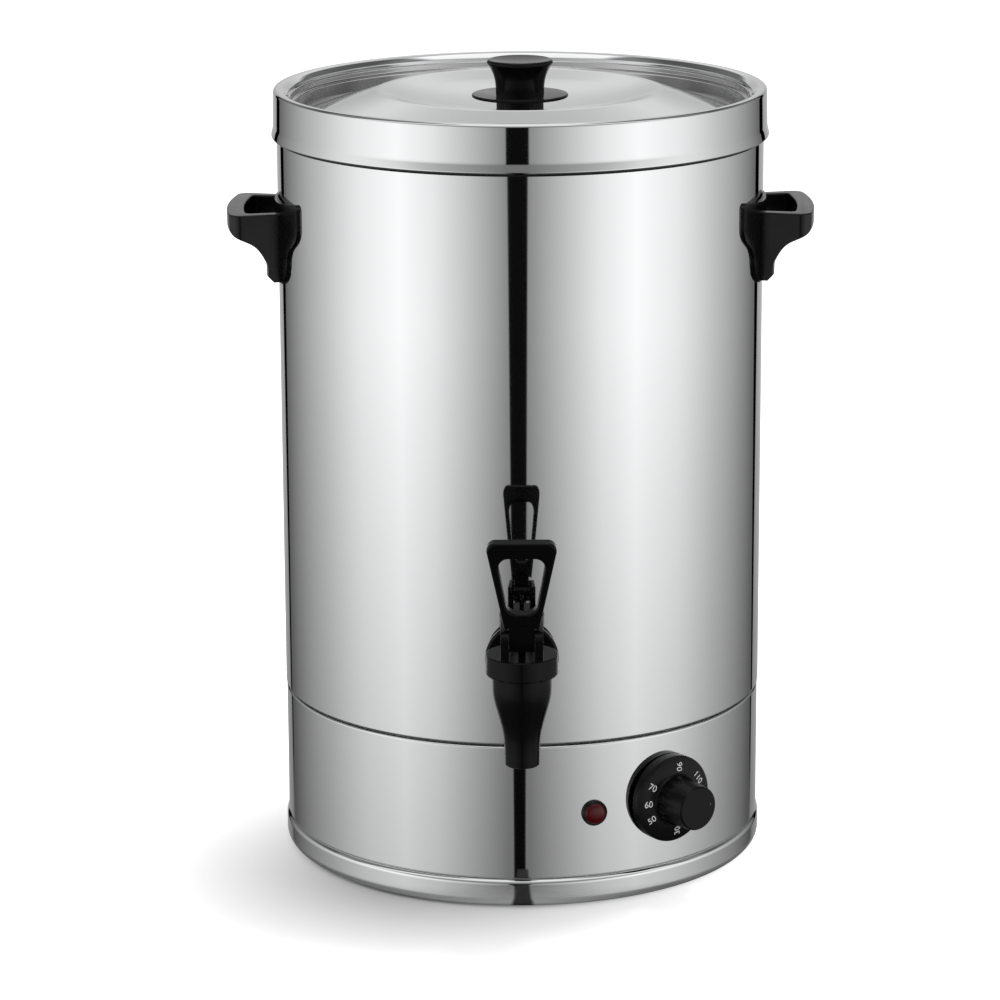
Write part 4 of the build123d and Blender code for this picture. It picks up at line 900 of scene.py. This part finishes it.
@dataclass
class Casing:
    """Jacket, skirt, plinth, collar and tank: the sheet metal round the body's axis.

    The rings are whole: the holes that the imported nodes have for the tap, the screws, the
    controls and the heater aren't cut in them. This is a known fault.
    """

    shop: Workshop
    radius: float = 170.0 * MM
    sheet: float = 0.8 * MM
    fold: float = 1.4 * MM
    flange: float = 7.0 * MM
    seam_depth: float = 1.6 * MM
    groove_reach: float = 167.0 * MM
    groove_fold: float = 167.1 * MM
    skirt_radius: float = 169.5 * MM
    skirt_fold: float = 1.0 * MM
    plinth_radius: float = 171.0 * MM
    plinth_inside: float = 156.5 * MM
    plinth_fold: float = 163.0 * MM
    plinth_foot_round: float = 6.5 * MM
    plinth_top_round: float = 4.0 * MM
    collar_foot: float = 174.0 * MM
    collar_waist: float = 172.4 * MM
    collar_top: float = 171.9 * MM
    collar_width: float = 10.5 * MM
    neck_radius: float = 159.6 * MM
    lower_neck_radius: float = 157.0 * MM
    tank_radius: float = 150.2 * MM
    tank_flange: float = 168.6 * MM
    tank_corner: float = 14.0 * MM
    skirt_lap: float = 14.0 * MM
    bead_height: float = 7.0 * MM
    rim_fall: float = 3.6 * MM
    rim_curl: float = 5.8 * MM
    neck_step_drop: float = 4.4 * MM
    lid_seat_drop: float = 11.0 * MM
    plinth_sheet: float = 1.0 * MM
    collar_sheet: float = 0.9 * MM
    collar_gap: float = 0.1 * MM
    # Height above the skirt's step where its painted black shade starts.
    painted_shade_start: float = 0.2 * MM
    face_slack: float = 0.3 * MM
    foot_fold: float = 1.0 * MM
    neck_fold: float = 0.5 * MM
    collar_folds: tuple[float, ...] = (1.4 * MM, 9.0 * MM, 2.4 * MM, 7.0 * MM, 1.2 * MM)
    tank_folds: tuple[float, ...] = (1.2 * MM, 1.0 * MM, 1.4 * MM, 1.2 * MM, 1.6 * MM)

    def heights(self, node: str) -> Point:
        """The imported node's lowest and highest point."""
        low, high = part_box(node)
        return low.z, high.z

    def ring(
        self,
        name: str,
        node: str,
        path: Sequence[Point],
        folds: Sequence[float],
        sheet: float,
        finish: Finish = JACKET_STEEL,
    ) -> Thing:
        """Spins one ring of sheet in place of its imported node.

        Args:
            name: The ring's name.
            node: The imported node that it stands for.
            path: The sheet's outer face from its foot up.
            folds: Fold radii at the path's inner corners.
            sheet: The sheet's thickness.
            finish: The ring's finish.

        Returns:
            The ring.
        """
        piece = self.shop.spin(name, walled(rounded(path, folds), sheet), finish)
        return finish_piece(piece, finish, Body.URN, [node])

    def jacket(self) -> None:
        """Makes the jacket with both of its folds, with painted shade in black in the seam under
        the collar.
        """
        foot, top = self.heights("outer_shell")
        seam = self.heights("rim_collar")[0] - self.seam_depth
        path = [
            (self.groove_fold, foot),
            (self.radius, foot),
            (self.radius, seam),
            (self.radius, top),
            (self.radius - self.flange, top),
        ]
        folds = [self.foot_fold, 0.0, self.fold]
        piece = self.ring("jacket", "outer_shell", path, folds, self.sheet)
        # Painted shade: the jacket's faces in the seam under the collar are made black.
        self.paint_seam_shade(piece, seam, self.radius)

    def paint_seam_shade(self, piece: Thing, above: float, reach: float) -> None:
        """Paints shade on the outer faces above a height: black stands in for the shade of a seam.

        Args:
            piece: The ring.
            above: Where the painted shade starts.
            reach: Radius of the faces.
        """
        piece.data.materials.append(PAINTED_SEAM_SHADE.material())
        for face in piece.data.polygons:
            out = math.hypot(face.center.x, face.center.y)
            if face.center.z > above and out > reach - self.face_slack:
                face.material_index = 1

    def skirt(self) -> None:
        """Makes the skirt, whose step forms the groove, with painted shade in black round the step.
        """
        foot, neck_top = self.heights("base_skirt")
        step = neck_top - self.skirt_lap
        path = [
            (self.skirt_radius - self.flange, foot),
            (self.skirt_radius, foot),
            (self.skirt_radius, step),
            (self.groove_reach, step),
            (self.groove_reach, neck_top),
        ]
        folds = [self.skirt_fold, self.fold, self.neck_fold]
        piece = self.ring("skirt", "base_skirt", path, folds, self.sheet)
        # Painted shade: the faces in the groove round the step are made black.
        self.paint_seam_shade(piece, step + self.painted_shade_start, self.groove_reach)

    def plinth(self) -> None:
        """Makes the plinth ring with its rounded edges."""
        foot, top = self.heights("plinth_ring")
        path = [
            (self.plinth_inside, foot),
            (self.plinth_radius, foot),
            (self.plinth_radius, top),
            (self.plinth_fold, top),
        ]
        folds = [self.plinth_foot_round, self.plinth_top_round]
        self.ring("plinth", "plinth_ring", path, folds, self.plinth_sheet)

    def collar(self) -> None:
        """Makes the rolled collar with the bead along its foot."""
        foot, top = self.heights("rim_collar")
        inner = self.collar_top - self.collar_width
        path = [
            (self.radius + self.collar_gap, foot),
            (self.collar_foot, foot),
            (self.collar_waist, foot + self.bead_height),
            (self.collar_top, top),
            (self.collar_top - self.collar_width / 2, top),
            (inner, top - self.rim_fall),
            (inner, top - self.rim_curl),
        ]
        self.ring("collar", "rim_collar", path, self.collar_folds, self.collar_sheet)

    def tank(self) -> None:
        """Makes the tank, from its flange down to its floor."""
        underside, flange = self.heights("inner_tank")
        floor = underside + self.sheet
        step = flange - self.neck_step_drop
        seat = step - self.lid_seat_drop
        path = [
            (self.tank_flange, flange),
            (self.neck_radius, flange),
            (self.neck_radius, step),
            (self.lower_neck_radius, step),
            (self.lower_neck_radius, seat),
            (self.tank_radius, seat),
            (self.tank_radius, floor),
            (0.0, floor),
        ]
        folds = [*self.tank_folds, self.tank_corner]
        self.ring("tank", "inner_tank", path, folds, self.sheet, TANK_STEEL)

    def build(self) -> None:
        """Builds every ring."""
        self.jacket()
        self.skirt()
        self.plinth()
        self.collar()
        self.tank()


@dataclass
class Lid:
    """The lid's sheet, its knob, the heat guard and their fixing."""

    shop: Workshop
    sheet: float = 0.9 * MM
    flat_rim: float = 2.4 * MM
    shoulder_radius: float = 98.0 * MM
    shoulder_rise: float = 18.6 * MM
    shoulder_round: float = 9.0 * MM
    dish_depth: float = 12.9 * MM
    land_radius: float = 20.0 * MM
    screw_hole: float = 2.7 * MM
    dish_steps: int = 32
    sharp: float = 28.0

    def dish(self, land: float) -> list[Point]:
        """Points of the dish from its land to the crest."""
        run = self.shoulder_radius - self.land_radius
        radius = (run**2 + self.dish_depth**2) / (2 * self.dish_depth)
        made = []
        for number in range(self.dish_steps + 1):
            across = run * number / self.dish_steps
            height = land + radius - math.sqrt(radius**2 - across**2)
            made.append((self.land_radius + across, height))
        return made

    def cover(self) -> None:
        """Makes the lid's sheet: flat rim, cone, rounded shoulder, dish and land."""
        low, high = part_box("lid")
        rim = low.z + self.sheet
        crest = rim + self.shoulder_rise
        dish = self.dish(crest - self.dish_depth)
        inside = (high.x - self.flat_rim, rim)
        shoulder = rounded([dish[-8], dish[-1], inside], [self.shoulder_round])
        path = [(self.screw_hole, dish[0][1]), *dish[:-8], *shoulder, (high.x, rim)]
        path.reverse()
        piece = self.shop.spin("lid_cover", walled(path, self.sheet), LID_STEEL)
        finish_piece(piece, LID_STEEL, Body.LID, ["lid"])

    def build(self) -> None:
        """Builds the cover and dresses the knob."""
        self.cover()
        for node in ("lid_knob", "lid_knob_guard"):
            remould(node, f"{node}_moulding", GLOSSY_MOULDING, Body.LID, self.sharp)
        dress(SCREW_STEEL, "lid_knob_washer", "lid_knob_screw")


@dataclass
class SideHandles:
    """The two moulded handles and the screws that hold them from inside."""

    ease: float = 0.35 * MM
    plate_rise: float = 13.2 * MM
    plate_dip: float = 7.4 * MM
    plate_half_width: float = 79.0 * MM
    edge_slack: float = 0.3 * MM

    def dipped(self, piece: Thing) -> Thing:
        """Lowers the plate's top edge towards its middle, so that it runs down to the grip."""
        top = max(vertex.co.z for vertex in piece.data.vertices)
        for vertex in piece.data.vertices:
            above = vertex.co.z - (top - self.plate_rise)
            if above > self.edge_slack:
                share = min(1.0, abs(vertex.co.y) / self.plate_half_width)
                vertex.co.z -= self.plate_dip * (1 - share**2) * above / self.plate_rise
        return piece

    def build(self) -> None:
        """Dresses both handles."""
        for side in ("right", "left"):
            node = f"handle_{side}"
            piece = self.dipped(resurfaced(node, f"{node}_moulding", ease=self.ease))
            finish_piece(piece, HANDLE_MOULDING, Body.URN, [node])
        dress(SCREW_STEEL, "handle_screws")


@dataclass
class Tap:
    """The tap's mouldings, its lever and what seals it."""

    ease: float = 0.35 * MM

    def build(self) -> None:
        """Dresses the tap."""
        for node, body in (
            ("tap_body", Body.URN),
            ("tap_bonnet", Body.URN),
            ("tap_lever", Body.LEVER),
        ):
            remould(node, f"{node}_moulding", GLOSSY_MOULDING, body, ease=self.ease)
        dress(SCREW_STEEL, "tap_lever_pin", "tap_spring")
        # The stem's near-black colour is painted shade in the gap between the cheeks.
        dress(STEM_SHADE_PAINT, "tap_stem")
        dress(SILICONE, "tap_gasket", "tap_seal", "tap_seat_cup")
        dress(NYLON, "tap_sleeve", "tap_nut")


@dataclass
class DialScale:
    """The plain numbers on the heat dial's conical face, and its pointer dot."""

    shop: Workshop
    azimuth: float = 36.2
    height: float = 70.7 * MM
    foot_radius: float = 18.6 * MM
    foot_reach: float = 179.7 * MM
    edge_radius: float = 27.8 * MM
    edge_reach: float = 178.1 * MM
    mark_radius: float = 23.2 * MM
    mark_size: float = 6.6 * MM
    ink: float = 0.06 * MM
    dot_radius: float = 0.5 * MM
    dot_rise: float = 0.15 * MM
    dot_edge: Point = (0.7, 0.6)
    dot_ring: float = 10.6 * MM
    dot_angle: float = 83.0
    face_reach: float = 204.5 * MM
    marks: tuple[tuple[str, float], ...] = (
        ("30", 175.0),
        ("50", -119.0),
        ("60", -89.0),
        ("70", -59.0),
        ("90", 8.0),
    )
    last_mark: tuple[str, float] = ("110", 59.0)

    def mark(self, text: str, angle: float, turned: float) -> None:
        """Prints one number.

        Args:
            text: The number.
            angle: Degrees clockwise from the dial's top.
            turned: Turn of the lettering from the dial's radius, in degrees.
        """
        place = radial_place(self.azimuth, self.height)
        slope = (self.foot_reach - self.edge_reach) / (self.edge_radius - self.foot_radius)
        reach = self.foot_reach - slope * (self.mark_radius - self.foot_radius)
        name = f"dial_mark_{text}"
        piece = self.shop.dial_mark.make(
            name,
            bpy.data.meshes.new(name),
            DIAL_INK,
            text=text,
            text_size=self.mark_size,
            ink=2 * self.ink,
            lettering_turn=math.radians(turned),
            round_angle=math.radians(90.0 - angle),
            out_radius=self.mark_radius,
            height=reach - self.ink,
            slope=math.atan(slope),
        )
        piece.data.transform(place)
        healed(piece)
        finish_piece(piece, DIAL_INK, Body.DIAL)

    def dot(self) -> None:
        """Makes the pointer dot on the grip's face."""
        radius, rise = self.dot_radius, self.dot_rise
        inner, lower = self.dot_edge
        edge = [(radius, -rise), (radius, rise * lower), (radius * inner, rise)]
        outline = [(0.0, -rise), *edge, (0.0, rise)]
        piece = self.shop.spin("dial_pointer_dot", outline, DOT_INK, steps=24)
        angle = math.radians(90.0 - self.dot_angle)
        shift = Vector((self.dot_ring * math.cos(angle), self.dot_ring * math.sin(angle), 0))
        place = radial_place(self.azimuth, self.height)
        lift = Matrix.Translation(shift + Vector((0, 0, self.face_reach)))
        piece.data.transform(place @ lift)
        finish_piece(piece, DOT_INK, Body.DIAL)

    def build(self) -> None:
        """Prints every number and the dot."""
        for text, angle in self.marks:
            self.mark(text, angle, 180.0)
        self.mark(*self.last_mark, -90.0)
        self.dot()


@dataclass
class Controls:
    """The heat dial, its thermostat and the pilot lamp."""

    shop: Workshop
    dial_back: float = 172.8 * MM
    back_depth: float = 2.5 * MM
    back_slack: float = 0.05 * MM

    def deepen(self, piece: Thing) -> None:
        """Carries the dial's back closer to the skirt.

        This runs the back into the thermostat's screw heads and body, which is a known fault.
        """
        place = radial_place(DialScale.azimuth, DialScale.height)
        axis = place.to_3x3().col[2]
        for vertex in piece.data.vertices:
            out = (vertex.co - place.translation) @ axis
            if abs(out - self.dial_back) < self.back_slack:
                vertex.co -= axis * self.back_depth

    def build(self) -> None:
        """Dresses the controls."""
        piece = resurfaced("control_knob", "control_knob_moulding")
        self.deepen(piece)
        finish_piece(piece, DIAL_MOULDING, Body.DIAL, ["control_knob"])
        DialScale(self.shop).build()
        remould("pilot_lamp_body", "pilot_lamp_bezel", BEZEL_MOULDING, Body.URN)
        remould("pilot_lamp_lens", "pilot_lamp_window", PILOT_LENS, Body.URN)
        dress(ZINC_PLATE, "thermostat_shaft")
        dress(PHENOLIC, "thermostat_body")
        dress(SCREW_STEEL, "thermostat_screws")
        dress(BEZEL_MOULDING, "pilot_lamp_clip")


@dataclass
class Heater:
    """The looped heater tube on the tank's floor, with its fittings and sensors."""

    shop: Workshop
    tube_radius: float = 4.0 * MM
    leg_x: float = 20.0 * MM
    leg_y: float = 95.0 * MM
    half_width: float = 60.0 * MM
    half_length: float = 88.0 * MM
    bend: float = 14.0 * MM
    corner: float = 42.0 * MM

    def tube(self) -> None:
        """Bends the tube along its route, with both legs down through the tank's floor."""
        low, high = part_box("heating_element")
        loop = high.z - self.tube_radius
        half = [
            ((self.leg_x, self.leg_y, low.z), 0.0),
            ((self.leg_x, self.leg_y, loop), self.bend),
            ((self.leg_x, self.half_width, loop), self.bend),
            ((self.half_length, self.half_width, loop), self.corner),
            ((self.half_length, -self.half_width, loop), self.corner),
        ]
        left = [(Vector((-x, y, z)), bend) for (x, y, z), bend in half]
        right = [(Vector(place), bend) for place, bend in reversed(half)]
        points = [place for place, _ in left + right]
        bends = [bend for _, bend in left + right]
        seed = line_mesh("heater_route", points, False, bends)
        bent = self.shop.bent_tube
        piece = bent.make("heater_tube", seed, TANK_STEEL, tube_radius=self.tube_radius)
        healed(piece)
        finish_piece(piece, TANK_STEEL, Body.URN, ["heating_element"])

    def build(self) -> None:
        """Bends the tube and dresses what holds it."""
        self.tube()
        dress(BRASS, "element_bushes", "element_nuts")
        dress(SILICONE, "element_seals")
        dress(PHENOLIC, "thermal_cutout")
        dress(COPPER, "thermostat_bulb")
        dress(ZINC_PLATE, "bulb_clip")


@dataclass
class Base:
    """The base plate with its feet, tabs, screws and the cord's gland."""

    shop: Workshop
    foot_radius: float = 14.0 * MM
    foot_edge: float = 0.7 * MM
    foot_dimple: float = 5.0 * MM
    dimple_depth: float = 0.4 * MM
    dimple_slope: float = 1.5 * MM
    foot_angle: float = 45.0
    edge_share: float = 0.2
    plug_radius: float = 3.98 * MM
    barb_radius: float = 5.6 * MM
    barb_tip: float = 4.14 * MM
    plate_sheet: float = 1.0 * MM
    head_radius: float = 3.8 * MM
    head_height: float = 1.3 * MM
    shank_radius: float = 1.98 * MM
    recess_depth: float = 0.8 * MM
    head_edge: tuple[Point, ...] = ((0.9 * MM, 0.0), (0.3 * MM, 0.2 * MM), (0.0, 0.7 * MM))
    tip: Point = (0.7 * MM, 0.8 * MM)

    def feet(self) -> None:
        """Moulds the rubber feet: tread, dimple, plug and barb."""
        low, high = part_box("rubber_feet")
        plate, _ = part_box("base_plate")
        ring = (high.x - self.foot_radius) / math.cos(math.radians(self.foot_angle))
        tread, top = self.foot_radius, plate.z
        bulge = self.edge_share * self.foot_edge
        outline = [
            (0.0, self.dimple_depth),
            (self.foot_dimple - self.dimple_slope, self.dimple_depth),
            (self.foot_dimple, low.z),
            (tread - self.foot_edge, low.z),
            (tread - bulge, bulge),
            (tread, self.foot_edge),
            (tread, top),
            (self.plug_radius, top),
            (self.plug_radius, top + self.plate_sheet),
            (self.barb_radius, top + self.plate_sheet),
            (self.barb_tip, high.z),
            (0.0, high.z),
        ]
        seed = self.shop.spin("foot_form", outline, FOOT_RUBBER, steps=48)
        piece = self.shop.ring.make(
            "rubber_feet_moulded",
            seed.data,
            FOOT_RUBBER,
            count=4,
            ring_radius=ring,
            first_angle=math.radians(self.foot_angle),
        )
        bpy.data.objects.remove(seed)
        finish_piece(healed(piece), FOOT_RUBBER, Body.URN, ["rubber_feet"])

    def screws(self) -> None:
        """Turns the base screws and cuts the cross recess under their heads."""
        low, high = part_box("base_screws")
        ring = high.x - self.head_radius
        head, seat = low.z, low.z + self.head_height
        narrow, short = self.tip
        outline = [
            (0.0, head),
            *((self.head_radius - inward, head + up) for inward, up in self.head_edge),
            (self.head_radius, seat),
            (self.shank_radius, seat),
            (self.shank_radius, high.z - short),
            (self.shank_radius - narrow, high.z),
            (0.0, high.z),
        ]
        seed = self.shop.spin("screw_form", outline, SCREW_STEEL, steps=40)
        piece = self.shop.screws.make(
            "base_screws_turned",
            seed.data,
            SCREW_STEEL,
            count=4,
            ring_radius=ring,
            head_height=head,
            slot_depth=self.recess_depth,
        )
        bpy.data.objects.remove(seed)
        finish_piece(healed(piece), SCREW_STEEL, Body.URN, ["base_screws"])

    def build(self) -> None:
        """Builds the base."""
        self.feet()
        self.screws()
        dress(ZINC_PLATE, "base_plate", "base_tabs")
        dress(BEZEL_MOULDING, "cord_gland", "cord_gland_nut")
        dress(CERAMIC, "terminal_block")


# ------------------------------------------------------------------------------ studio


@dataclass
class Viewpoint:
    """The camera: a long lens a little above the urn."""

    distance: float = 2.780
    height: float = 0.9632
    focal: float = 144.53
    pitch: float = 14.438
    yaw: float = 0.315
    roll: float = -0.276
    sensor: float = 36.0
    reach: float = 50.0

    def build(self) -> None:
        """Makes the scene's camera."""
        data = bpy.data.cameras.new("viewpoint")
        data.lens = self.focal
        data.sensor_width = self.sensor
        data.clip_end = self.reach
        camera = placed("viewpoint", data)
        aim = Matrix.Rotation(math.radians(self.yaw), 4, "Z")
        aim = aim @ Matrix.Rotation(math.radians(90 - self.pitch), 4, "X")
        aim = aim @ Matrix.Rotation(math.radians(self.roll), 4, "Z")
        camera.matrix_world = Matrix.Translation((0, -self.distance, self.height)) @ aim
        bpy.context.scene.camera = camera


@dataclass(frozen=True)
class Tone:
    """How bright the studio looks in polished metal, at one angle in degrees."""

    angle: float
    level: float


@dataclass(frozen=True)
class Lamp:
    """One soft lamp over the urn."""

    name: str
    place: Triple
    size: float
    power: float


@dataclass
class Surroundings(Nodes):
    """What polished metal shows: bright walls, a dark strip in front and a soft light overhead.

    The walls are a ring of tones by the angle from the front. The overhead tones go by the
    angle from the horizon behind, over the top, to the horizon in front.
    """

    plain: float = 0.45
    turn: float = 1.3
    strip_tone: float = 0.005
    strip_low: Point = (-0.33, 2.8)
    strip_high: Point = (-0.13, 5.2)
    strip_top: Point = (0.05, 0.2)
    edge: float = 0.35
    flag_angle: float = 151.9
    flag_low: Point = (-0.31, 1.2)
    flag_high: Point = (-0.18, 3.4)
    flag_end: Point = (-19.0, -18.0)
    overhead_start: Point = (0.15, 0.40)
    panel_edge: Point = (0.26, 0.30)
    beside_panel: float = 0.2
    front_panel: Point = (98.0, 114.0)
    front_reach: Point = (40.0, 90.0)
    tones: tuple[Tone, ...] = (
        Tone(5.0, 0.33),  # beside the strip
        Tone(20.0, 0.64),  # front wing
        Tone(40.0, 1.06),  # front softbox edge
        Tone(57.0, 1.27),  # softbox
        Tone(80.0, 1.06),  # side wall
        Tone(105.0, 0.67),  # side wall end
        Tone(132.0, 0.33),  # far wall
        Tone(146.0, 0.17),  # far corner
        Tone(150.0, 0.15),  # behind
        Tone(154.0, 0.36),  # behind the flag
        Tone(160.0, 0.42),  # back wall
        Tone(168.0, 0.50),  # back wall
        Tone(176.0, 0.60),  # back wall
        Tone(180.0, 0.62),  # back middle
    )
    overhead: tuple[Tone, ...] = (
        Tone(14.0, 0.75),  # back wall
        Tone(30.0, 0.85),  # back wall top
        Tone(50.0, 0.55),  # back gap
        Tone(58.0, 0.55),  # back gap end
        Tone(66.0, 1.3),  # overhead panel
        Tone(80.0, 1.15),  # overhead panel
        Tone(100.0, 0.85),  # panel end
        Tone(122.0, 1.1),  # front panel
        Tone(145.0, 0.3),  # dark front
        Tone(168.0, 0.28),  # above the strip
    )
    heights: tuple[Tone, ...] = (
        Tone(-60.0, 0.03),  # straight down
        Tone(-35.0, 0.12),  # ground
        Tone(-25.0, 0.45),  # ground edge
        Tone(-19.4, 0.615),  # skyline
        Tone(-12.0, 1.0),  # wall
    )
    front_heights: tuple[Tone, ...] = (
        Tone(-10.0, 1.0),  # wall
        Tone(0.0, 0.9),  # eye level
        Tone(11.0, 0.6),  # wall top
        Tone(24.0, 0.3),  # dark front
    )
    tree: bpy.types.NodeTree | None = None

    def by_angle(self, angle: Socket, tones: Sequence[Tone], shift: float = 0.0) -> Socket:
        """Blends between named tones by an angle.

        Args:
            angle: The angle in degrees.
            tones: The tones in order of their angles.
            shift: Added to every angle, so that none is negative.

        Returns:
            The tone.
        """
        share = self.sum("DIVIDE", self.sum("ADD", angle, shift), 180.0)
        ramp = self.add("ShaderNodeValToRGB", {0: share})
        top = max(tone.level for tone in tones)
        stops = ramp.color_ramp.elements
        while len(stops) < len(tones):
            stops.new(0.5)
        for stop, tone in zip(stops, tones, strict=True):
            stop.position = (tone.angle + shift) / 180.0
            stop.color = (tone.level / top,) * 3 + (1.0,)
        return self.times(ramp.outputs[0], top)

    def mask(self, angle: object, height: Socket, low: Point, high: Point) -> Socket:
        """Is 1 within a half width that changes with height, with a slightly soft edge.

        Args:
            angle: Degrees from the middle.
            height: Height of the direction.
            low: A height and the half width there.
            high: Another height and the half width there.

        Returns:
            The mask.
        """
        limit = self.between(height, (low[0], high[0]), (low[1], high[1]))
        over = self.less(angle, limit)
        return self.between(over, (-self.edge, self.edge), (1.0, 0.0), True)

    def room(self) -> Socket:
        """Brightness of the room in each direction."""
        place = self.add("ShaderNodeTexCoord", {}).outputs["Generated"]
        turn = (0, 0, math.radians(self.turn))
        turned = self.node("ShaderNodeMapping", {"Vector": place, "Rotation": turn})
        x, y, z = self.add("ShaderNodeSeparateXYZ", {0: turned}).outputs
        across = self.sum("ABSOLUTE", x)
        degrees = self.sum("DEGREES", self.sum("ARCTAN2", across, self.times(y, -1.0)))
        rise = self.sum("DEGREES", self.sum("ARCSINE", z))
        aside = self.sum("ABSOLUTE", self.less(degrees, self.flag_angle))
        flag = self.mask(aside, z, self.flag_low, self.flag_high)
        flag = self.times(flag, self.between(rise, self.flag_end, (0.0, 1.0)))
        tone = self.times(self.by_angle(degrees, self.tones), self.less(1.0, flag))
        strip = self.mask(degrees, z, self.strip_low, self.strip_high)
        strip = self.times(strip, self.between(z, self.strip_top, (1.0, 0.0)))
        lit = self.times(tone, self.less(1.0, strip))
        tone = self.sum("ADD", lit, self.times(strip, self.strip_tone))
        tone = self.times(tone, self.by_angle(rise, self.heights, 90.0))
        in_front = self.between(degrees, self.front_reach, (1.0, 0.0))
        fade = self.less(1.0, self.by_angle(rise, self.front_heights, 90.0))
        tone = self.times(tone, self.less(1.0, self.times(in_front, fade)))
        over = self.sum("DEGREES", self.sum("ARCTAN2", z, y))
        beside = self.between(across, self.panel_edge, (1.0, self.beside_panel))
        beside = self.sum("MAXIMUM", beside, self.between(over, self.front_panel, (0.0, 1.0)))
        above = self.times(self.by_angle(over, self.overhead), beside)
        up = self.between(z, self.overhead_start, (0.0, 1.0))
        return self.sum("ADD", self.times(tone, self.less(1.0, up)), self.times(above, up))

    def build(self) -> None:
        """Makes the world: the room in reflections, plain light, and white for the camera."""
        world = bpy.data.worlds.new("studio")
        bpy.context.scene.world = world
        world.use_nodes = True
        self.tree = world.node_tree
        self.tree.nodes.clear()
        rays = self.add("ShaderNodeLightPath", {}).outputs
        mirrored = self.sum("MAXIMUM", rays["Is Glossy Ray"], rays["Is Transmission Ray"])
        plain = self.times(self.less(1.0, mirrored), self.plain)
        lit = self.sum("ADD", self.times(mirrored, self.room()), plain)
        seen = rays["Is Camera Ray"]
        strength = self.sum("ADD", self.times(lit, self.less(1.0, seen)), seen)
        white = {"Color": (1.0, 1.0, 1.0, 1.0), "Strength": strength}
        self.add("ShaderNodeOutputWorld", {"Surface": self.node("ShaderNodeBackground", white)})


@dataclass
class Studio:
    """Pale floor, soft lamps and the surroundings."""

    floor_size: float = 60.0
    floor_tone: float = 0.7
    floor_roughness: float = 0.9
    # Centre and fade of the camera's glow that paints the floor's shadow round the urn.
    painted_shadow_centre: Point = (-0.063, -0.09)
    painted_shadow_fade: Point = (0.05, 0.25)
    mirrored_reach: Point = (0.178, 0.225)
    side_share: float = 0.25
    band_half: Point = (0.006, 0.009)
    band_ends: Point = (-0.25, -0.1)
    band_tone: float = 0.06
    lamp_aim: float = 0.2
    lamps: tuple[Lamp, ...] = (
        Lamp("key_softbox", (0.24, 0.20, 2.1), 0.35, 28.0),
        Lamp("left_softbox", (-1.9, -0.6, 1.9), 1.4, 8.0),
        Lamp("front_softbox", (0.5, -2.2, 2.0), 1.4, 8.0),
    )

    def floor(self) -> None:
        """Makes the pale floor.

        To the camera it glows more with distance from the shadow's centre: the glow is painted
        shadow, dim near the urn, laid over the lamps' real shadow. Reflections see it near the urn
        only, with a dark band in front that carries on the room's dark strip.
        """
        half = self.floor_size / 2
        mesh = bpy.data.meshes.new("floor")
        corners = [(-half, -half, 0), (half, -half, 0), (half, half, 0), (-half, half, 0)]
        mesh.from_pydata(corners, [], [(0, 1, 2, 3)])
        floor = placed("floor", mesh)
        shader = Shader("pale_floor")
        pale = (self.floor_tone,) * 3
        shader.set(base_color=pale, roughness=self.floor_roughness, specular_ior_level=0.0)
        shader.set(emission_color=(1.0, 1.0, 1.0))
        rays = shader.add("ShaderNodeLightPath", {}).outputs
        where = shader.place()
        centre = (*self.painted_shadow_centre, 0.0)
        away, outward = (
            shader.add("ShaderNodeVectorMath", inputs, operation=kind).outputs["Value"]
            for kind, inputs in (("LENGTH", {0: where}), ("DISTANCE", {0: where, 1: centre}))
        )
        # Painted shadow: the camera's glow is low near the centre and rises to white further out.
        spread = shader.between(outward, self.painted_shadow_fade, (0.0, 1.0))
        shader.drive(shader.times(rays["Is Camera Ray"], spread), "Emission Strength")
        x, y, _ = shader.add("ShaderNodeSeparateXYZ", {0: where}).outputs
        aside = shader.sum("ABSOLUTE", x)
        farther = shader.sum("MULTIPLY_ADD", aside, self.side_share, away)
        beyond = shader.between(farther, self.mirrored_reach, (0.0, 1.0))
        low, high = self.band_ends
        along = shader.times(shader.sum("LESS_THAN", y, high), shader.sum("GREATER_THAN", y, low))
        band = shader.times(shader.between(aside, self.band_half, (1.0, 0.0)), along)
        clear = shader.node("ShaderNodeBsdfTransparent", {})
        dark = {"Color": (self.band_tone,) * 3 + (1.0,)}
        black = shader.node("ShaderNodeBsdfDiffuse", dark)
        seen = shader.surface.outputs[0]
        for share, other in ((beyond, clear), (band, black)):
            share = shader.times(rays["Is Glossy Ray"], share)
            seen = shader.node("ShaderNodeMixShader", {0: share, 1: seen, 2: other})
        shader.tree.links.new(seen, shader.end.inputs["Surface"])
        mesh.materials.append(shader.material)

    def hang(self, lamp: Lamp) -> None:
        """Makes one soft lamp that points at the urn's middle.

        Args:
            lamp: The lamp's sizes.
        """
        data = bpy.data.lights.new(lamp.name, "AREA")
        data.size = lamp.size
        data.energy = lamp.power
        hung = placed(lamp.name, data)
        place = Vector(lamp.place)
        aim = (Vector((0, 0, self.lamp_aim)) - place).to_track_quat("-Z", "Y")
        hung.matrix_world = Matrix.Translation(place) @ aim.to_matrix().to_4x4()
        hung.visible_glossy = False

    def build(self) -> None:
        """Builds the studio."""
        Surroundings().build()
        self.floor()
        for lamp in self.lamps:
            self.hang(lamp)
        bpy.context.scene.view_settings.view_transform = "Standard"


def main() -> None:
    """Builds the urn's sub-assemblies in order, then the studio."""
    logging.basicConfig(level=logging.INFO, format="%(name)s %(message)s")
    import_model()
    shop = Workshop()
    for part in (
        Casing(shop),
        Lid(shop),
        SideHandles(),
        Tap(),
        Controls(shop),
        Heater(shop),
        Base(shop),
    ):
        part.build()
        LOG.info("%s built", type(part).__name__)
    Studio().build()
    Viewpoint().build()


if __name__ == "__main__":
    main()
